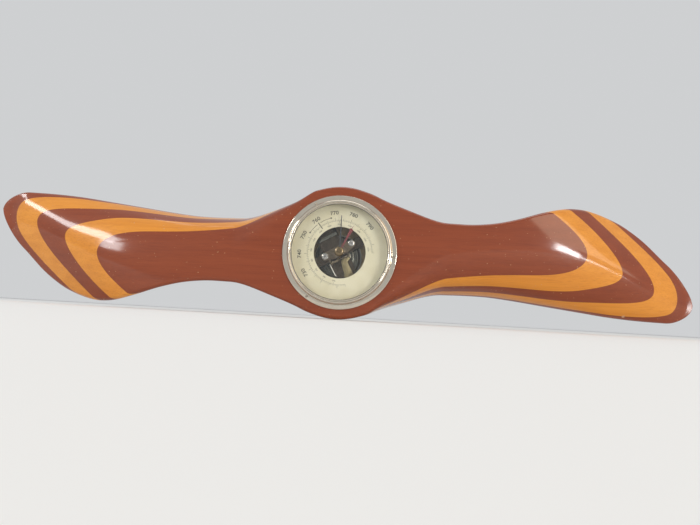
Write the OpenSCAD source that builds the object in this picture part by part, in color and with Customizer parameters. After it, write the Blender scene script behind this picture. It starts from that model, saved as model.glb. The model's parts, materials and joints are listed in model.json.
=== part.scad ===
// Wall barometer: an aneroid movement in the hub of a laminated wooden propeller.
// X runs along the blades, Z is up and Y runs into the wall, which is the plane Y = 0.
// The origin is where the hub's axis meets the wall.

/* [Propeller] */
// Length from tip to tip
span = 648; // [600:1:700]
// Diameter of the hub
hub_d = 117; // [112:1:124]
// Half of the waist's height
waist_half = 31; // [26:0.5:36]
// Radius of the hollow between hub and waist
waist_fillet_r = 120; // [90:1:150]
// How far the hollow is filled out at the hub's shoulders
shoulder_h = 4; // [0:0.2:5]
// Thickness of each of the five boards
board_t = 8; // [7.5:0.1:9]
// Radius of the rounded edges
edge_r = 3; // [1:0.5:4]
// Thickness of the blade along its edges
edge_t = 6.8; // [6:0.2:9]
// How deep the lower front edge is carved away
roll_depth = 33; // [26:0.5:34]
// Length over which that carving fades out at the waist
roll_waist = 9.2; // [6:0.2:12]
// Distance from the hub's axis where the carving starts
roll_start_x = 10; // [4:1:30]
// How late that length grows towards the waist, where 1 is even growth
roll_growth = 1.6; // [1:0.1:2.4]
// Height of the tip's nose
nose_z = -24; // [-30:1:-18]
// Length of the rounded nose
nose_l = 24; // [14:1:34]
// Direction of the slope towards the tip, from the X axis
tip_slope_dir = 55; // [45:1:65]
// Steepness of that slope
tip_slope = 0.76; // [0.6:0.02:0.9]
// How far before the nose the slope starts, square to it
tip_slope_back = 24; // [18:1:30]
// Softness of the start of the slope
tip_slope_soft = 9; // [4:1:14]
// Softness of its end, where it runs out into the thin edge
tip_round = 2.2; // [1:0.1:3]

/* [Case] */
// Depth of the bore for the case
bore_depth = 30; // [29:0.5:31]
// Play of the case in its bore
case_fit = 0.3; // [0.1:0.05:0.5]
// Wall of the case
can_wall = 0.7; // [0.5:0.05:0.8]
// Floor of the case
can_floor = 1; // [0.6:0.1:1.4]
// How far the rim of the case lies below the hub's face
can_rim_drop = 1; // [0.5:0.1:2]

/* [Bezel] */
// Outer diameter of the bezel
bezel_d = 100; // [98:0.5:106]
// Width of the bezel's flange on the wood
flange_w = 5; // [4.4:0.1:5.6]
// Thickness of the bezel's flange
bezel_flange_t = 1.2; // [0.8:0.1:2]
// How far the bezel's roll stands proud of the flange
bezel_roll_h = 4.3; // [3.4:0.1:6]
// Radial width of the roll
bezel_roll_w = 4; // [3:0.1:4.5]
// Width of the bezel's lip over the glass
lip_w = 1.25; // [1:0.05:1.6]
// Thickness of that lip
lip_t = 1.2; // [0.8:0.1:1.4]
// Wall of the bezel's skirt in the case
skirt_wall = 0.6; // [0.4:0.05:0.8]
// Depth of that skirt below the hub's face
skirt_depth = 3.5; // [2:0.1:4]
// Thickness of the glass
glass_t = 2; // [1.5:0.1:2.5]
// Thickness of the ring that holds the glass
glass_ring_t = 1.2; // [0.8:0.1:1.6]
// Radius of a pin's head
pin_head_r = 1.1; // [0.8:0.1:1.3]
// Radius of a pin's shank
pin_r = 0.6; // [0.4:0.1:0.7]
// Length of a pin below the flange
pin_l = 7; // [4:0.5:7.5]

/* [Dial and hands] */
// Depth of the dial's face below the hub's face
dial_depth = 4.5; // [4.2:0.1:5]
// Thickness of the dial
dial_t = 0.6; // [0.4:0.1:1]
// Radius of the opening in the dial
dial_hole_r = 22.8; // [20:0.2:23]
// Length of the indicator hand
hand_l = 33; // [28:0.5:36]
// Length of the set hand
set_hand_l = 26; // [22:0.5:30]
// Thickness of both hands
hand_t = 0.4; // [0.3:0.05:0.6]
// Distance of the indicator hand in front of the dial
hand_gap = 2.6; // [2:0.1:3]
// Radius of the set knob
knob_r = 4; // [3:0.1:5]
// Height of the set knob
knob_h = 3.6; // [2.5:0.1:5]
// Radius of the knob's stem
stem_r = 1.2; // [0.9:0.1:1.5]

/* [Movement] */
// Turn of the movement in its case, counter-clockwise
movement_turn = 30; // [0:1:33]
// Gap between the base plate and the wall of the case
base_margin = 5; // [3:0.2:6]
// Thickness of the base plate
base_t = 1.5; // [1.2:0.1:1.8]
// Gap between base plate and case floor
base_gap = 2; // [1.6:0.1:2.4]
// Radius of the capsule
capsule_r = 21; // [17:0.5:22]
// Height of the capsule
capsule_h = 5; // [4:0.1:5.2]
// Wall of the capsule
capsule_wall = 0.35; // [0.25:0.05:0.45]
// Height of its corrugations
corrugation_h = 0.5; // [0.3:0.05:0.6]
// Thickness of the main spring
leaf_t = 1; // [0.8:0.05:1.2]
// Thickness of the frame bar
bar_t = 1.2; // [1:0.05:1.4]
// Width of frame bar and bridge
bar_w = 9; // [8:0.2:10]
// Gap between the capsule and the nearer frame pillar
pillar_gap = 0.5; // [0.4:0.1:2]
// Radius of the frame pillars
pillar_r = 2.5; // [2:0.1:3]
// Height of the bridge above the frame bar
bridge_gap = 4.5; // [4.2:0.1:4.8]
// Half of the distance between the bridge's screws
bridge_x = 13; // [12:0.5:15]
// Radius of the pointer arbor
arbor_r = 0.7; // [0.5:0.05:0.9]
// Radius of the drum that the chain winds on
drum_r = 0.8; // [0.75:0.05:1]
// Radius of the rocker's shaft
rocker_r = 0.8; // [0.6:0.05:1]
// Length of the rocker's upright arm
upright_l = 5; // [4.6:0.1:5.2]
// Length of the rocker's link arm
link_arm_l = 2; // [1.8:0.1:2.4]
// Shank radius of the movement's screws
screw_r = 1.2; // [1:0.05:1.4]
// Radius of their heads
screw_head_r = 2.3; // [2:0.1:2.6]
// Height of their heads
screw_head_h = 1.1; // [0.8:0.1:1.3]
// Radius of the heads on the bridge
bridge_head_r = 2.9; // [2.4:0.1:3.2]
// Shank radius of the screws in the dial's feet
foot_screw_r = 0.8; // [0.6:0.05:0.9]

/* [Fixings at the back] */
// Width of the hanger plate
hanger_w = 40; // [36:1:42]
// Metal left above and below the keyhole
hanger_rim = 1.6; // [1:0.1:2.4]
// Thickness of the hanger plate
hanger_t = 1.5; // [1:0.1:1.8]
// Depth of the hanger plate below the wall side
hanger_inset = 1.2; // [1.1:0.1:1.4]
// Distance of the keyhole's eye from the top of the hub
keyhole_drop = 23.5; // [22:0.5:25]
// Radius of the keyhole's eye
keyhole_r = 4.5; // [4:0.1:4.8]
// Half of the width of the keyhole's slot
keyhole_slot_r = 2.2; // [1.8:0.1:2.4]
// How far the slot runs up from the eye
keyhole_slot_l = 6.5; // [5.5:0.1:7]
// Radius of the access hole to the adjusting screw
access_r = 4; // [3.4:0.1:4.5]
// Radius of the adjusting screw
adjust_r = 1.6; // [1.2:0.1:1.8]

/* [Hidden] */
eps = 0.01;

half_span = span / 2;
hub_r = hub_d / 2;
body_t = 5 * board_t;
waist_x = sqrt(pow(hub_r + waist_fillet_r, 2) - pow(waist_half + waist_fillet_r, 2));
fillet_x = waist_x * hub_r / (hub_r + waist_fillet_r);
shoulder_x = 16;
blade_l = half_span - waist_x;

// Radii of case and bezel, from the flange inwards
bore_r = bezel_d / 2 - flange_w;
can_r = bore_r - case_fit;
can_in_r = can_r - can_wall;
can_fit = 0.05;
glass_fit = 0.1;
skirt_out_r = can_in_r - can_fit;
skirt_in_r = skirt_out_r - skirt_wall;
glass_r = skirt_in_r - glass_fit;
sight_r = glass_r - lip_w;
roll_r = sight_r + bezel_roll_w;
bezel_rim_r = 0.5;
pin_circle_r = (roll_r + bezel_d / 2 - bezel_rim_r) / 2;
dial_r = can_in_r - 0.4;
base_r = can_in_r - base_margin;
foot_circle_r = base_r - 4;
foot_r = 1.4;
spacer_circle_r = base_r - 5;
spacer_r = 3;

// Levels along the hub's axis, from the wall to the knob
bore_floor_y = -body_t + bore_depth;
can_floor_y = bore_floor_y - can_floor;
base_back_y = can_floor_y - base_gap;
base_y = base_back_y - base_t;
foot_h = 1;
capsule_back_y = base_y - foot_h;
capsule_front_y = capsule_back_y - capsule_h;
leaf_gap = 1;
leaf_play = 0.2;
stud_play = 0.35;
leaf_back_y = capsule_front_y - leaf_gap;
leaf_y = leaf_back_y - leaf_t;
nut_h = 1.2;
lever_t = 1;
lever_foot_h = 1.8;
lever_back_y = leaf_y - lever_foot_h;
lever_y = lever_back_y - lever_t;
lever_gap = 0.1;
bar_back_y = lever_y - lever_gap;
bar_y = bar_back_y - bar_t;
rocker_rise = 2.1;
rocker_y = bar_y - rocker_rise;
bridge_back_y = bar_y - bridge_gap;
bridge_y = bridge_back_y - bar_t;
chain_y = rocker_y - upright_l + 0.2;
dial_y = -body_t + dial_depth;
dial_back_y = dial_y + dial_t;
hand_y = dial_y - hand_gap - hand_t;
flange_y = -body_t - bezel_flange_t;
crest_y = flange_y - bezel_roll_h;
glass_y = crest_y + lip_t;
glass_back_y = glass_y + glass_t;
set_hand_y = glass_back_y + 0.7;

// Clearances
pin_fit = 0.02;
run_fit = 0.05;
slip = 0.1;

// Places in the movement's own frame, which is turned with it: [across, up]
capsule_at = [-3, -2];
bridge_screw_z = 3.2;
bar_z = 1.9;
rocker_z = -4.5;
link_x = 3.5;
bracket_z = [27, 34];
bracket_half_w = 10;
adjust_at = [capsule_at[0], 31];
lever_foot_z = [-23.4, -19];
pillar_x = capsule_r - capsule_at[0] + pillar_r + pillar_gap;
FOOT_ANGLES = [40, 160, 280];
SPACER_ANGLES = [65, 195, 305];
PIN_ANGLES = [-2.5, 119.2, 236.8];

// Hanger plate in its recess, over a pocket for the nail's head
keyhole_z = hub_r - keyhole_drop;
hanger_z0 = keyhole_z - keyhole_r - hanger_rim;
hanger_z1 = keyhole_z + keyhole_slot_l + keyhole_slot_r + hanger_rim;
hanger_screw_at = [hanger_w / 2 - 4.5, keyhole_z + 3];
hanger_screw_r = 1.1;
hanger_y = -hanger_inset - hanger_t;
pocket_y = hanger_y + 0.55 * (bore_floor_y - hanger_y);
pocket_play = 1;

// Height of the blade's two edges, at shares of the way from waist to tip
LEADING_EDGE = [[0, waist_half], [0.09, waist_half], [0.18, waist_half + 2.5], [0.27, 38.8], [0.36, 45.8],
    [0.46, 52], [0.53, 53.6], [0.59, 52.3], [0.66, 48], [0.72, 42], [0.8, 29.3], [0.89, 10], [1, -11]];
TRAILING_EDGE = [[0, -waist_half], [0.09, 0.5 - waist_half], [0.18, 0.2 - waist_half], [0.28, -32.8],
    [0.41, -36.3], [0.55, -40], [0.68, -43.3], [0.81, -45], [1, -45.5]];
// Length over which the carving of the lower edge fades out
ROLL_LENGTH = [[0, roll_waist], [0.24, 13.4], [0.46, 19], [0.68, 32], [1, 35]];
// How quickly the back rises from the leading edge to the wall
BACK_POWER = [[0, 2 * waist_half / roll_waist], [0.12, 4], [0.25, 2], [0.42, 1], [0.55, 0.8], [1, 0.8]];
// How deep the back of the blade is hollowed
BACK_HOLLOW = [[0, 0], [0.2, 3], [0.42, 7], [0.7, 6], [0.9, 1.5], [1, 0]];

// From 0 to 1 with a soft start and end
function ease(t) = let(c = min(1, max(0, t))) c * c * (3 - 2 * c);

// The larger of 0 and t, with its corner rounded over the distance soft
function soft_ramp(t, soft) = (sqrt(t * t + 4 * soft * soft) + t) / 2;

// Index of the last point of a table that lies at or before x
function span_index(points, x, i = 0) =
    i >= len(points) - 2 || points[i + 1][0] > x ? i : span_index(points, x, i + 1);

function slope_at(points, i) =
    let(a = max(0, i - 1), b = min(len(points) - 1, i + 1))
    (points[b][1] - points[a][1]) / (points[b][0] - points[a][0]);

// Smooth curve through the points of a table, read at x
function curve_at(points, x) =
    let(i = span_index(points, x), p = points[i], q = points[i + 1], d = q[0] - p[0],
        t = (x - p[0]) / d, m = slope_at(points, i) * d, n = slope_at(points, i + 1) * d)
    p[1] * (2 * t * t * t - 3 * t * t + 1) + m * (t * t * t - 2 * t * t + t)
    + q[1] * (3 * t * t - 2 * t * t * t) + n * (t * t * t - t * t);

// Share of the way from waist to tip
function blade_share(x) = min(1, max(0, (x - waist_x) / blade_l));

// The shoulder swells between the hub's face and the waist, with soft ends
function shoulder(x) = let(s = min(1, max(0, (x - shoulder_x) / (waist_x - shoulder_x))))
    shoulder_h * pow(4 * s * (1 - s), 2);

// Height of hub and waist at x: the hub's circle, then the hollow that meets it, and the shoulder on both
function hub_edge(x) = shoulder(x) + (x < fillet_x
    ? sqrt(hub_r * hub_r - x * x)
    : waist_half + waist_fillet_r - sqrt(pow(waist_fillet_r, 2) - pow(waist_x - x, 2)));

// The nose closes both edges on an ellipse
function nose_share(x) = let(s = max(0, (x - half_span + nose_l) / nose_l)) sqrt(max(0, 1 - s * s));
function raw_lead(x) = x < waist_x ? hub_edge(x) : curve_at(LEADING_EDGE, blade_share(x));
function raw_trail(x) = x < waist_x ? -hub_edge(x) : curve_at(TRAILING_EDGE, blade_share(x));
function mid_z(x) = (raw_lead(x) + raw_trail(x)) / 2;
function half_chord(x) = nose_share(x) * (raw_lead(x) - raw_trail(x)) / 2;

// Carving of the lower front edge, and of the slope towards the tip
function roll_length(x) = x < waist_x
    ? max(0.6, roll_waist * pow(max(0, (x - roll_start_x) / (waist_x - roll_start_x)), roll_growth))
    : curve_at(ROLL_LENGTH, blade_share(x));
function carved(x) = ease((x - fillet_x + 8) / 20);
function tip_drop(x, z) =
    let(along = (x - half_span) * cos(tip_slope_dir) + (z - nose_z) * sin(tip_slope_dir) + tip_slope_back)
    tip_slope * soft_ramp(along, tip_slope_soft);

// How softly the front runs out into the thin edge: more so over the last stretch before the tip
edge_round = 1;
tip_l = 60;
function edge_soft(x) = edge_round + (tip_round - edge_round) * ease((x - half_span + tip_l) / tip_l);
function front_y(x, z) =
    let(low = mid_z(x) - half_chord(x),
        drop = carved(x) * (tip_drop(x, z) + roll_depth * exp(-(z - low) / roll_length(x))),
        proud = body_t - drop - edge_t / 2)
    -edge_t / 2 - (drop < eps ? proud : soft_ramp(proud, edge_soft(x)));

// The back lies on the wall at the trailing edge and rises to the leading edge
function back_y(x, z) =
    let(top = mid_z(x) + half_chord(x), share = min(1, max(0, (top - z) / (2 * half_chord(x)))),
        rise = carved(x) * max(0, -front_y(x, top) - edge_t),
        power = x < waist_x ? 2 * hub_edge(x) / roll_length(x) : curve_at(BACK_POWER, blade_share(x)),
        hollow = 4 * share * (1 - share) * curve_at(BACK_HOLLOW, blade_share(x)))
    -rise * pow(1 - share, power) - hollow;

// One point of the skin: v runs from -1 at the lower edge to 1 at the upper one
function skin_point(x, v, is_front) = x < 0
    ? let(p = skin_point(-x, -v, is_front)) [-p[0], p[1], -p[2]]
    : let(h = half_chord(x), z = mid_z(x) + v * h, f = front_y(x, z), b = back_y(x, z),
        half_t = (b - f) / 2,
        r = min(edge_r, 0.9 * half_t, 0.9 * h),
        s = min(1, max(0, (abs(v) * h - h + r) / r)),
        kept = half_t - r * (1 - sqrt(1 - s * s)))
    [x, (f + b) / 2 + (is_front ? -kept : kept), z];

// Stations along the blades: even in the middle, closer in the waist's hollow and at the nose
stations_half = 34;
skin_columns = 7;
function station(i) = let(w = i / stations_half) (half_span - 0.05) * sin(90 * (0.62 * w + 0.38 * w * w * w));
STATIONS = [for (i = [-stations_half : stations_half]) sign(i) * station(abs(i))];
COLUMNS = [for (j = [-skin_columns : skin_columns]) sin(90 * j / skin_columns)];
ring_n = 2 * len(COLUMNS);
function ring(x) = concat(
    [for (v = COLUMNS) skin_point(x, v, true)],
    [for (j = [len(COLUMNS) - 1 : -1 : 0]) skin_point(x, COLUMNS[j], false)]);

module propeller_body() {
    last = (len(STATIONS) - 1) * ring_n;
    points = [for (x = STATIONS) each ring(x)];
    sides = [for (i = [0 : len(STATIONS) - 2]) for (j = [0 : ring_n - 1])
        let(a = i * ring_n + j, b = i * ring_n + (j + 1) % ring_n)
        each [[a, b, b + ring_n], [a, b + ring_n, a + ring_n]]];
    ends = [for (j = [0 : ring_n / 2 - 2])
        let(a = j, b = j + 1, c = ring_n - 2 - j, d = ring_n - 1 - j)
        each [[a, c, b], [a, d, c], [last + a, last + b, last + c], [last + a, last + c, last + d]]];
    polyhedron(points = points, faces = concat(sides, ends), convexity = 6);
}

// Rod along Y
module along_y(y0, y1, r, fn = 64) {
    translate([0, y0, 0]) rotate([-90, 0, 0]) cylinder(h = y1 - y0, r = r, $fn = fn);
}
module rod(at, y0, y1, r, fn = 48) { translate([at[0], 0, at[1]]) along_y(y0, y1, r, fn); }

// Rod along X
module cross_rod(y, z, x0, x1, r) {
    translate([x0, y, z]) rotate([0, 90, 0]) cylinder(h = x1 - x0, r = r, $fn = 48);
}

// Flat plate between two levels, from an outline in X and Z
module plate(y0, y1) { translate([0, y1, 0]) rotate([90, 0, 0]) linear_extrude(y1 - y0) children(); }

// Turned part: its outline gives radius and level
module turned(fn = 128) { rotate([-90, 0, 0]) rotate_extrude($fn = fn) children(); }

// Block between two corners
module block(a, b) { translate(a) cube(b - a); }

// The movement sits in its case at an angle
module in_movement() { rotate([0, -movement_turn, 0]) children(); }
function on_circle(r, a) = [r * cos(a), r * sin(a)];

// Slotted screw that faces the front, with its head seated at seat_y
module screw(at, seat_y, head_r, head_h, shank_r, shank_l, slot_turn = 20) {
    slot_w = head_r / 4;
    difference() {
        union() {
            rod(at, seat_y - head_h, seat_y, head_r);
            rod(at, seat_y - eps, seat_y + shank_l, shank_r);
        }
        translate([at[0], seat_y - head_h, at[1]]) rotate([0, slot_turn, 0])
            cube([3 * head_r, head_h * 0.9, slot_w], center = true);
    }
}

// Wooden body
module slab(index) {
    translate([-half_span - 1, -board_t * (index + 1), -hub_d]) cube([span + 2, board_t, 2 * hub_d]);
}
module access_hole() { in_movement() rod(adjust_at, -body_t, 1, access_r); }
module hanger_recess() {
    block([-hanger_w / 2, hanger_y, hanger_z0], [hanger_w / 2, 1, hanger_z1]);
    block([-keyhole_r - pocket_play, pocket_y, keyhole_z - keyhole_r],
        [keyhole_r + pocket_play, hanger_y + eps, keyhole_z + keyhole_slot_l + keyhole_r]);
    hanger_screw_holes(pocket_y, hanger_screw_r + pin_fit);
}
module hanger_screw_holes(y0, r) {
    for (side = [-1, 1]) rod([side * hanger_screw_at[0], hanger_screw_at[1]], y0, 0, r);
}
module board(index) {
    front = board_t * (index + 1);
    difference() {
        intersection() { propeller_body(); slab(index); }
        if (front > body_t - bore_depth) along_y(-body_t - 1, bore_floor_y, bore_r, 128);
        if (front - board_t < body_t - bore_depth) access_hole();
        if (index == 0) hanger_recess();
        if (index == 4) for (a = PIN_ANGLES)
            rod(on_circle(pin_circle_r, a), -body_t - 1, -body_t + pin_l, pin_r + pin_fit);
    }
}
module front_board() { color("#8a4a2c") board(4); }
module light_board_front() { color("#d08038") board(3); }
module middle_board() { color("#8a4a2c") board(2); }
module light_board_rear() { color("#d08038") board(1); }
module rear_board() { color("#8a4a2c") board(0); }

// Keyhole plate let into the back
module hanger_plate() {
    slot_z = keyhole_z + keyhole_slot_l;
    color("#b08d4a") difference() {
        block([-hanger_w / 2 + slip, hanger_y, hanger_z0 + slip],
            [hanger_w / 2 - slip, -hanger_inset, hanger_z1 - slip]);
        rod([0, keyhole_z], hanger_y - 1, 0, keyhole_r);
        rod([0, slot_z], hanger_y - 1, 0, keyhole_slot_r);
        block([-keyhole_slot_r, hanger_y - 1, keyhole_z], [keyhole_slot_r, 0, slot_z]);
        hanger_screw_holes(hanger_y - 1, hanger_screw_r + slip);
    }
}
module hanger_screws() {
    color("#c9c4b4") for (side = [-1, 1])
        translate([side * hanger_screw_at[0], 0, hanger_screw_at[1]]) rotate([0, 0, 180])
            screw([0, 0], hanger_inset, screw_head_r, 0.9, hanger_screw_r, -hanger_inset - pocket_y - 0.5,
                20 * side);
}

// Case that holds the movement
module case_can() {
    color("#b9a05c") difference() {
        along_y(can_floor_y, bore_floor_y, can_r, 128);
        in_movement() {
            rod(adjust_at, can_floor_y - 1, bore_floor_y + 1, access_r - 1);
            for (a = SPACER_ANGLES)
                rod(on_circle(spacer_circle_r, a), can_floor_y - 1, bore_floor_y + 1, screw_r + pin_fit);
        }
    }
    color("#b9a05c") difference() {
        along_y(-body_t + can_rim_drop, bore_floor_y, can_r, 128);
        along_y(-body_t, bore_floor_y + 1, can_in_r, 128);
    }
}

// Bezel: flange on the wood, raised roll, lip over the glass and skirt in the case
module bezel_ring() {
    crest_r = sight_r + 0.45 * bezel_roll_w;
    color("#c9c9c6") difference() {
        turned() polygon(concat(
            [[skirt_out_r, -body_t], [bezel_d / 2, -body_t]],
            [for (a = [0 : 30 : 90])
                [bezel_d / 2 - bezel_rim_r * (1 - cos(a)), flange_y + bezel_rim_r * (1 - sin(a))]],
            [for (a = [0 : 15 : 90])
                [crest_r + (roll_r - crest_r) * cos(a), flange_y - bezel_roll_h * sin(a)]],
            [[sight_r + 0.3, glass_y - 0.5], [sight_r, glass_y - 0.2], [sight_r, glass_y],
                [skirt_in_r, glass_y], [skirt_in_r, -body_t + skirt_depth],
                [skirt_out_r, -body_t + skirt_depth]]));
        for (a = PIN_ANGLES) rod(on_circle(pin_circle_r, a), flange_y - 1, -body_t + 1, pin_r + pin_fit);
    }
}

// Round-headed pins that hold the bezel to the wood
module bezel_pins() {
    color("#b9a878") for (a = PIN_ANGLES) translate([pin_circle_r * cos(a), 0, pin_circle_r * sin(a)]) {
        along_y(flange_y, -body_t + pin_l - 0.2, pin_r);
        translate([0, flange_y, 0]) intersection() {
            sphere(r = pin_head_r, $fn = 32);
            block([-2, -2, -2], [2, 0, 2]);
        }
    }
}
module glass() {
    color([0.85, 0.92, 0.95, 0.35]) difference() {
        along_y(glass_y, glass_back_y, glass_r, 128);
        along_y(glass_y - 1, glass_back_y + 1, stem_r + run_fit);
    }
}
module glass_ring() {
    color("#b9a05c") difference() {
        along_y(glass_back_y, glass_back_y + glass_ring_t, glass_r, 128);
        along_y(glass_back_y - 1, glass_back_y + glass_ring_t + 1, sight_r + 0.2, 128);
        block([-0.6, glass_back_y - 1, -glass_r - 1], [0.6, glass_back_y + glass_ring_t + 1, 0]);
    }
}

// Dial on three feet that stand on the base plate
foot_screw_l = 4;
module dial_plate() {
    color("#ded4b4") difference() {
        along_y(dial_y, dial_back_y, dial_r, 128);
        along_y(dial_y - 1, dial_back_y + 1, dial_hole_r, 128);
    }
}
module dial_feet() {
    color("#b9a05c") in_movement() for (a = FOOT_ANGLES) difference() {
        rod(on_circle(foot_circle_r, a), dial_back_y, base_y, foot_r);
        rod(on_circle(foot_circle_r, a), base_y - foot_screw_l - 1, base_y + 1, foot_screw_r + pin_fit);
    }
}
module dial_foot_screws() {
    color("#c9c4b4") in_movement() for (a = FOOT_ANGLES)
        translate([foot_circle_r * cos(a), 0, foot_circle_r * sin(a)]) rotate([0, 0, 180])
            screw([0, 0], -base_back_y, 2, 1, foot_screw_r, base_t + foot_screw_l, a);
}

// Base plate on three spacers
module base_plate() {
    color("#8f7a45") in_movement() difference() {
        along_y(base_y, base_back_y, base_r, 128);
        rod(adjust_at, base_y - 1, base_back_y + 1, adjust_r + run_fit);
        rod(capsule_at, base_y - 1, base_back_y + 1, capsule_pin_r + pin_fit);
        for (a = FOOT_ANGLES)
            rod(on_circle(foot_circle_r, a), base_y - 1, base_back_y + 1, foot_screw_r + slip);
        for (a = SPACER_ANGLES)
            rod(on_circle(spacer_circle_r, a), base_y - 1, base_back_y + 1, screw_r + slip);
    }
}
module base_spacers() {
    color("#b9a05c") in_movement() for (a = SPACER_ANGLES) difference() {
        rod(on_circle(spacer_circle_r, a), base_back_y, can_floor_y, spacer_r);
        rod(on_circle(spacer_circle_r, a), base_back_y - 1, can_floor_y + 1, screw_r + slip);
    }
}
module base_screws() {
    color("#c9c4b4") in_movement() for (a = SPACER_ANGLES)
        screw(on_circle(spacer_circle_r, a), base_y, screw_head_r, screw_head_h, screw_r,
            bore_floor_y - base_y - slip, a);
}

// Capsule of two corrugated shells, which breathes with the pressure of the air
capsule_rings = 5;
capsule_mid_y = (capsule_back_y + capsule_front_y) / 2;
capsule_boss_r = 3;
capsule_pin_r = 1.5;
stud_r = 1.3;
nut_r = 2.6;
function shell_rise(r) =
    let(share = (capsule_r - 1 - r) / (capsule_r - 1 - capsule_boss_r))
    (capsule_h / 2 - capsule_wall - corrugation_h) * ease(6 * share)
    + corrugation_h * (1 - cos(360 * capsule_rings * share)) / 2 + (share >= 1 ? corrugation_h : 0);
module shell() {
    steps = 40;
    radii = [for (i = [0 : steps]) capsule_boss_r + (capsule_r - 1 - capsule_boss_r) * i / steps];
    turned() polygon(concat(
        [[0, shell_rise(capsule_boss_r)]],
        [for (r = radii) [r, shell_rise(r)]],
        [[capsule_r, 0], [capsule_r, capsule_wall]],
        [for (i = [steps : -1 : 0]) [radii[i], shell_rise(radii[i]) + capsule_wall]],
        [[0, shell_rise(capsule_boss_r) + capsule_wall]]));
}
module capsule_lower_shell() {
    color("#4c4b45") in_movement() translate([capsule_at[0], capsule_mid_y, capsule_at[1]]) shell();
}
module capsule_upper_shell() {
    color("#4c4b45") in_movement() translate([capsule_at[0], capsule_mid_y, capsule_at[1]])
        rotate([0, 0, 180]) shell();
}
module capsule_foot() {
    color("#8f7a45") in_movement() {
        rod(capsule_at, capsule_back_y, base_y, capsule_boss_r);
        rod(capsule_at, base_y - eps, base_back_y, capsule_pin_r);
    }
}
module capsule_stud() {
    color("#a98e50") in_movement() {
        rod(capsule_at, leaf_y - nut_h - 0.3, capsule_front_y - stud_play, stud_r);
        rod(capsule_at, capsule_front_y - stud_play - 0.4, capsule_front_y - stud_play, capsule_boss_r);
    }
}
module stud_nut() {
    color("#8f7a45") in_movement() difference() {
        translate([capsule_at[0], leaf_y - nut_h, capsule_at[1]]) rotate([-90, 0, 0])
            cylinder(h = nut_h - slip, r = nut_r, $fn = 6);
        rod(capsule_at, leaf_y - nut_h - 1, leaf_y + 1, stud_r + pin_fit);
    }
}

// Main spring: a leaf clamped to its bracket, drawn in towards its free end
clamp_x = bracket_half_w - 2.5;
clamp_l = 4;
module clamp_holes(y0, y1, r) {
    for (side = [-1, 1]) rod([capsule_at[0] + side * clamp_x, adjust_at[1]], y0, y1, r);
}
module spring_bracket() {
    color("#5a5348") in_movement() difference() {
        block([capsule_at[0] - bracket_half_w, leaf_back_y + leaf_play, bracket_z[0]],
            [capsule_at[0] + bracket_half_w, base_y, bracket_z[1]]);
        rod(adjust_at, leaf_back_y + 1.5, base_y + 1, adjust_r + run_fit);
        clamp_holes(leaf_back_y - 1, leaf_back_y + clamp_l + 1, screw_r + pin_fit);
    }
}
module spring_leaf() {
    half_w = bracket_half_w - 0.2;
    end_z = lever_foot_z[0] - 0.6;
    shoulder_z = -15;
    color("#564d40") in_movement() difference() {
        plate(leaf_y, leaf_back_y) translate([capsule_at[0], 0]) polygon([
            [-half_w, bracket_z[1]], [-half_w, shoulder_z], [-5, end_z], [5, end_z], [half_w, shoulder_z],
            [half_w, bracket_z[1]]]);
        rod(capsule_at, leaf_y - 1, leaf_back_y + 1, stud_r + 0.4);
        clamp_holes(leaf_y - 1, leaf_back_y + 1, screw_r + 0.3);
    }
}
module spring_screws() {
    color("#c9c4b4") in_movement() for (side = [-1, 1])
        screw([capsule_at[0] + side * clamp_x, adjust_at[1]], leaf_y - leaf_play, screw_head_r, screw_head_h,
            screw_r, leaf_t + leaf_play + clamp_l, 60 + 7 * side);
}

// Main lever on the free end of the spring, and the link that it lifts
module main_lever() {
    color("#b3985a") in_movement() {
        plate(lever_y, lever_back_y) polygon([
            [-6, lever_foot_z[0]], [2.2, lever_foot_z[0]], [2.6, -9.2], [5.8, -7.6], [6.2, -3.4], [0.4, -3.4],
            [-2.6, -7.2]]);
        block([-5.6, lever_back_y - eps, lever_foot_z[0]], [0.6, leaf_y, lever_foot_z[1]]);
    }
}
link_r = 0.4;
module lever_link() {
    color("#c9c4b4") in_movement() {
        rod([link_x, rocker_z - link_arm_l], rocker_y + 0.9, lever_y, link_r);
    }
}

// Frame bar on two pillars
frame_screw_l = 5;
module frame_pillars() {
    color("#8f7a45") in_movement() for (x = [-pillar_x, pillar_x]) difference() {
        rod([x, bar_z], bar_back_y, base_y, pillar_r);
        rod([x, bar_z], bar_back_y - 1, bar_back_y + frame_screw_l + 1, screw_r + pin_fit);
    }
}
module bar_outline(half_l) {
    translate([-half_l, bar_z - bar_w / 2]) square([2 * half_l, bar_w]);
}
module bridge_screw_holes(y0, y1, r) {
    for (x = [-bridge_x, bridge_x]) rod([x, bridge_screw_z], y0, y1, r);
}
module frame_bar() {
    color("#4d463b") in_movement() difference() {
        plate(bar_y, bar_back_y) bar_outline(pillar_x + pillar_r);
        rod([0, 0], bar_y - 1, bar_back_y + 1, arbor_r + run_fit);
        for (x = [-pillar_x, pillar_x]) rod([x, bar_z], bar_y - 1, bar_back_y + 1, screw_r + slip);
        bridge_screw_holes(bar_y - 1, bar_back_y + 1, screw_r + pin_fit);
    }
}
module frame_screws() {
    color("#c9c4b4") in_movement() for (x = [-pillar_x, pillar_x])
        screw([x, bar_z], bar_y, screw_head_r, screw_head_h, screw_r, bar_t + frame_screw_l, 40 * sign(x));
}

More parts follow.
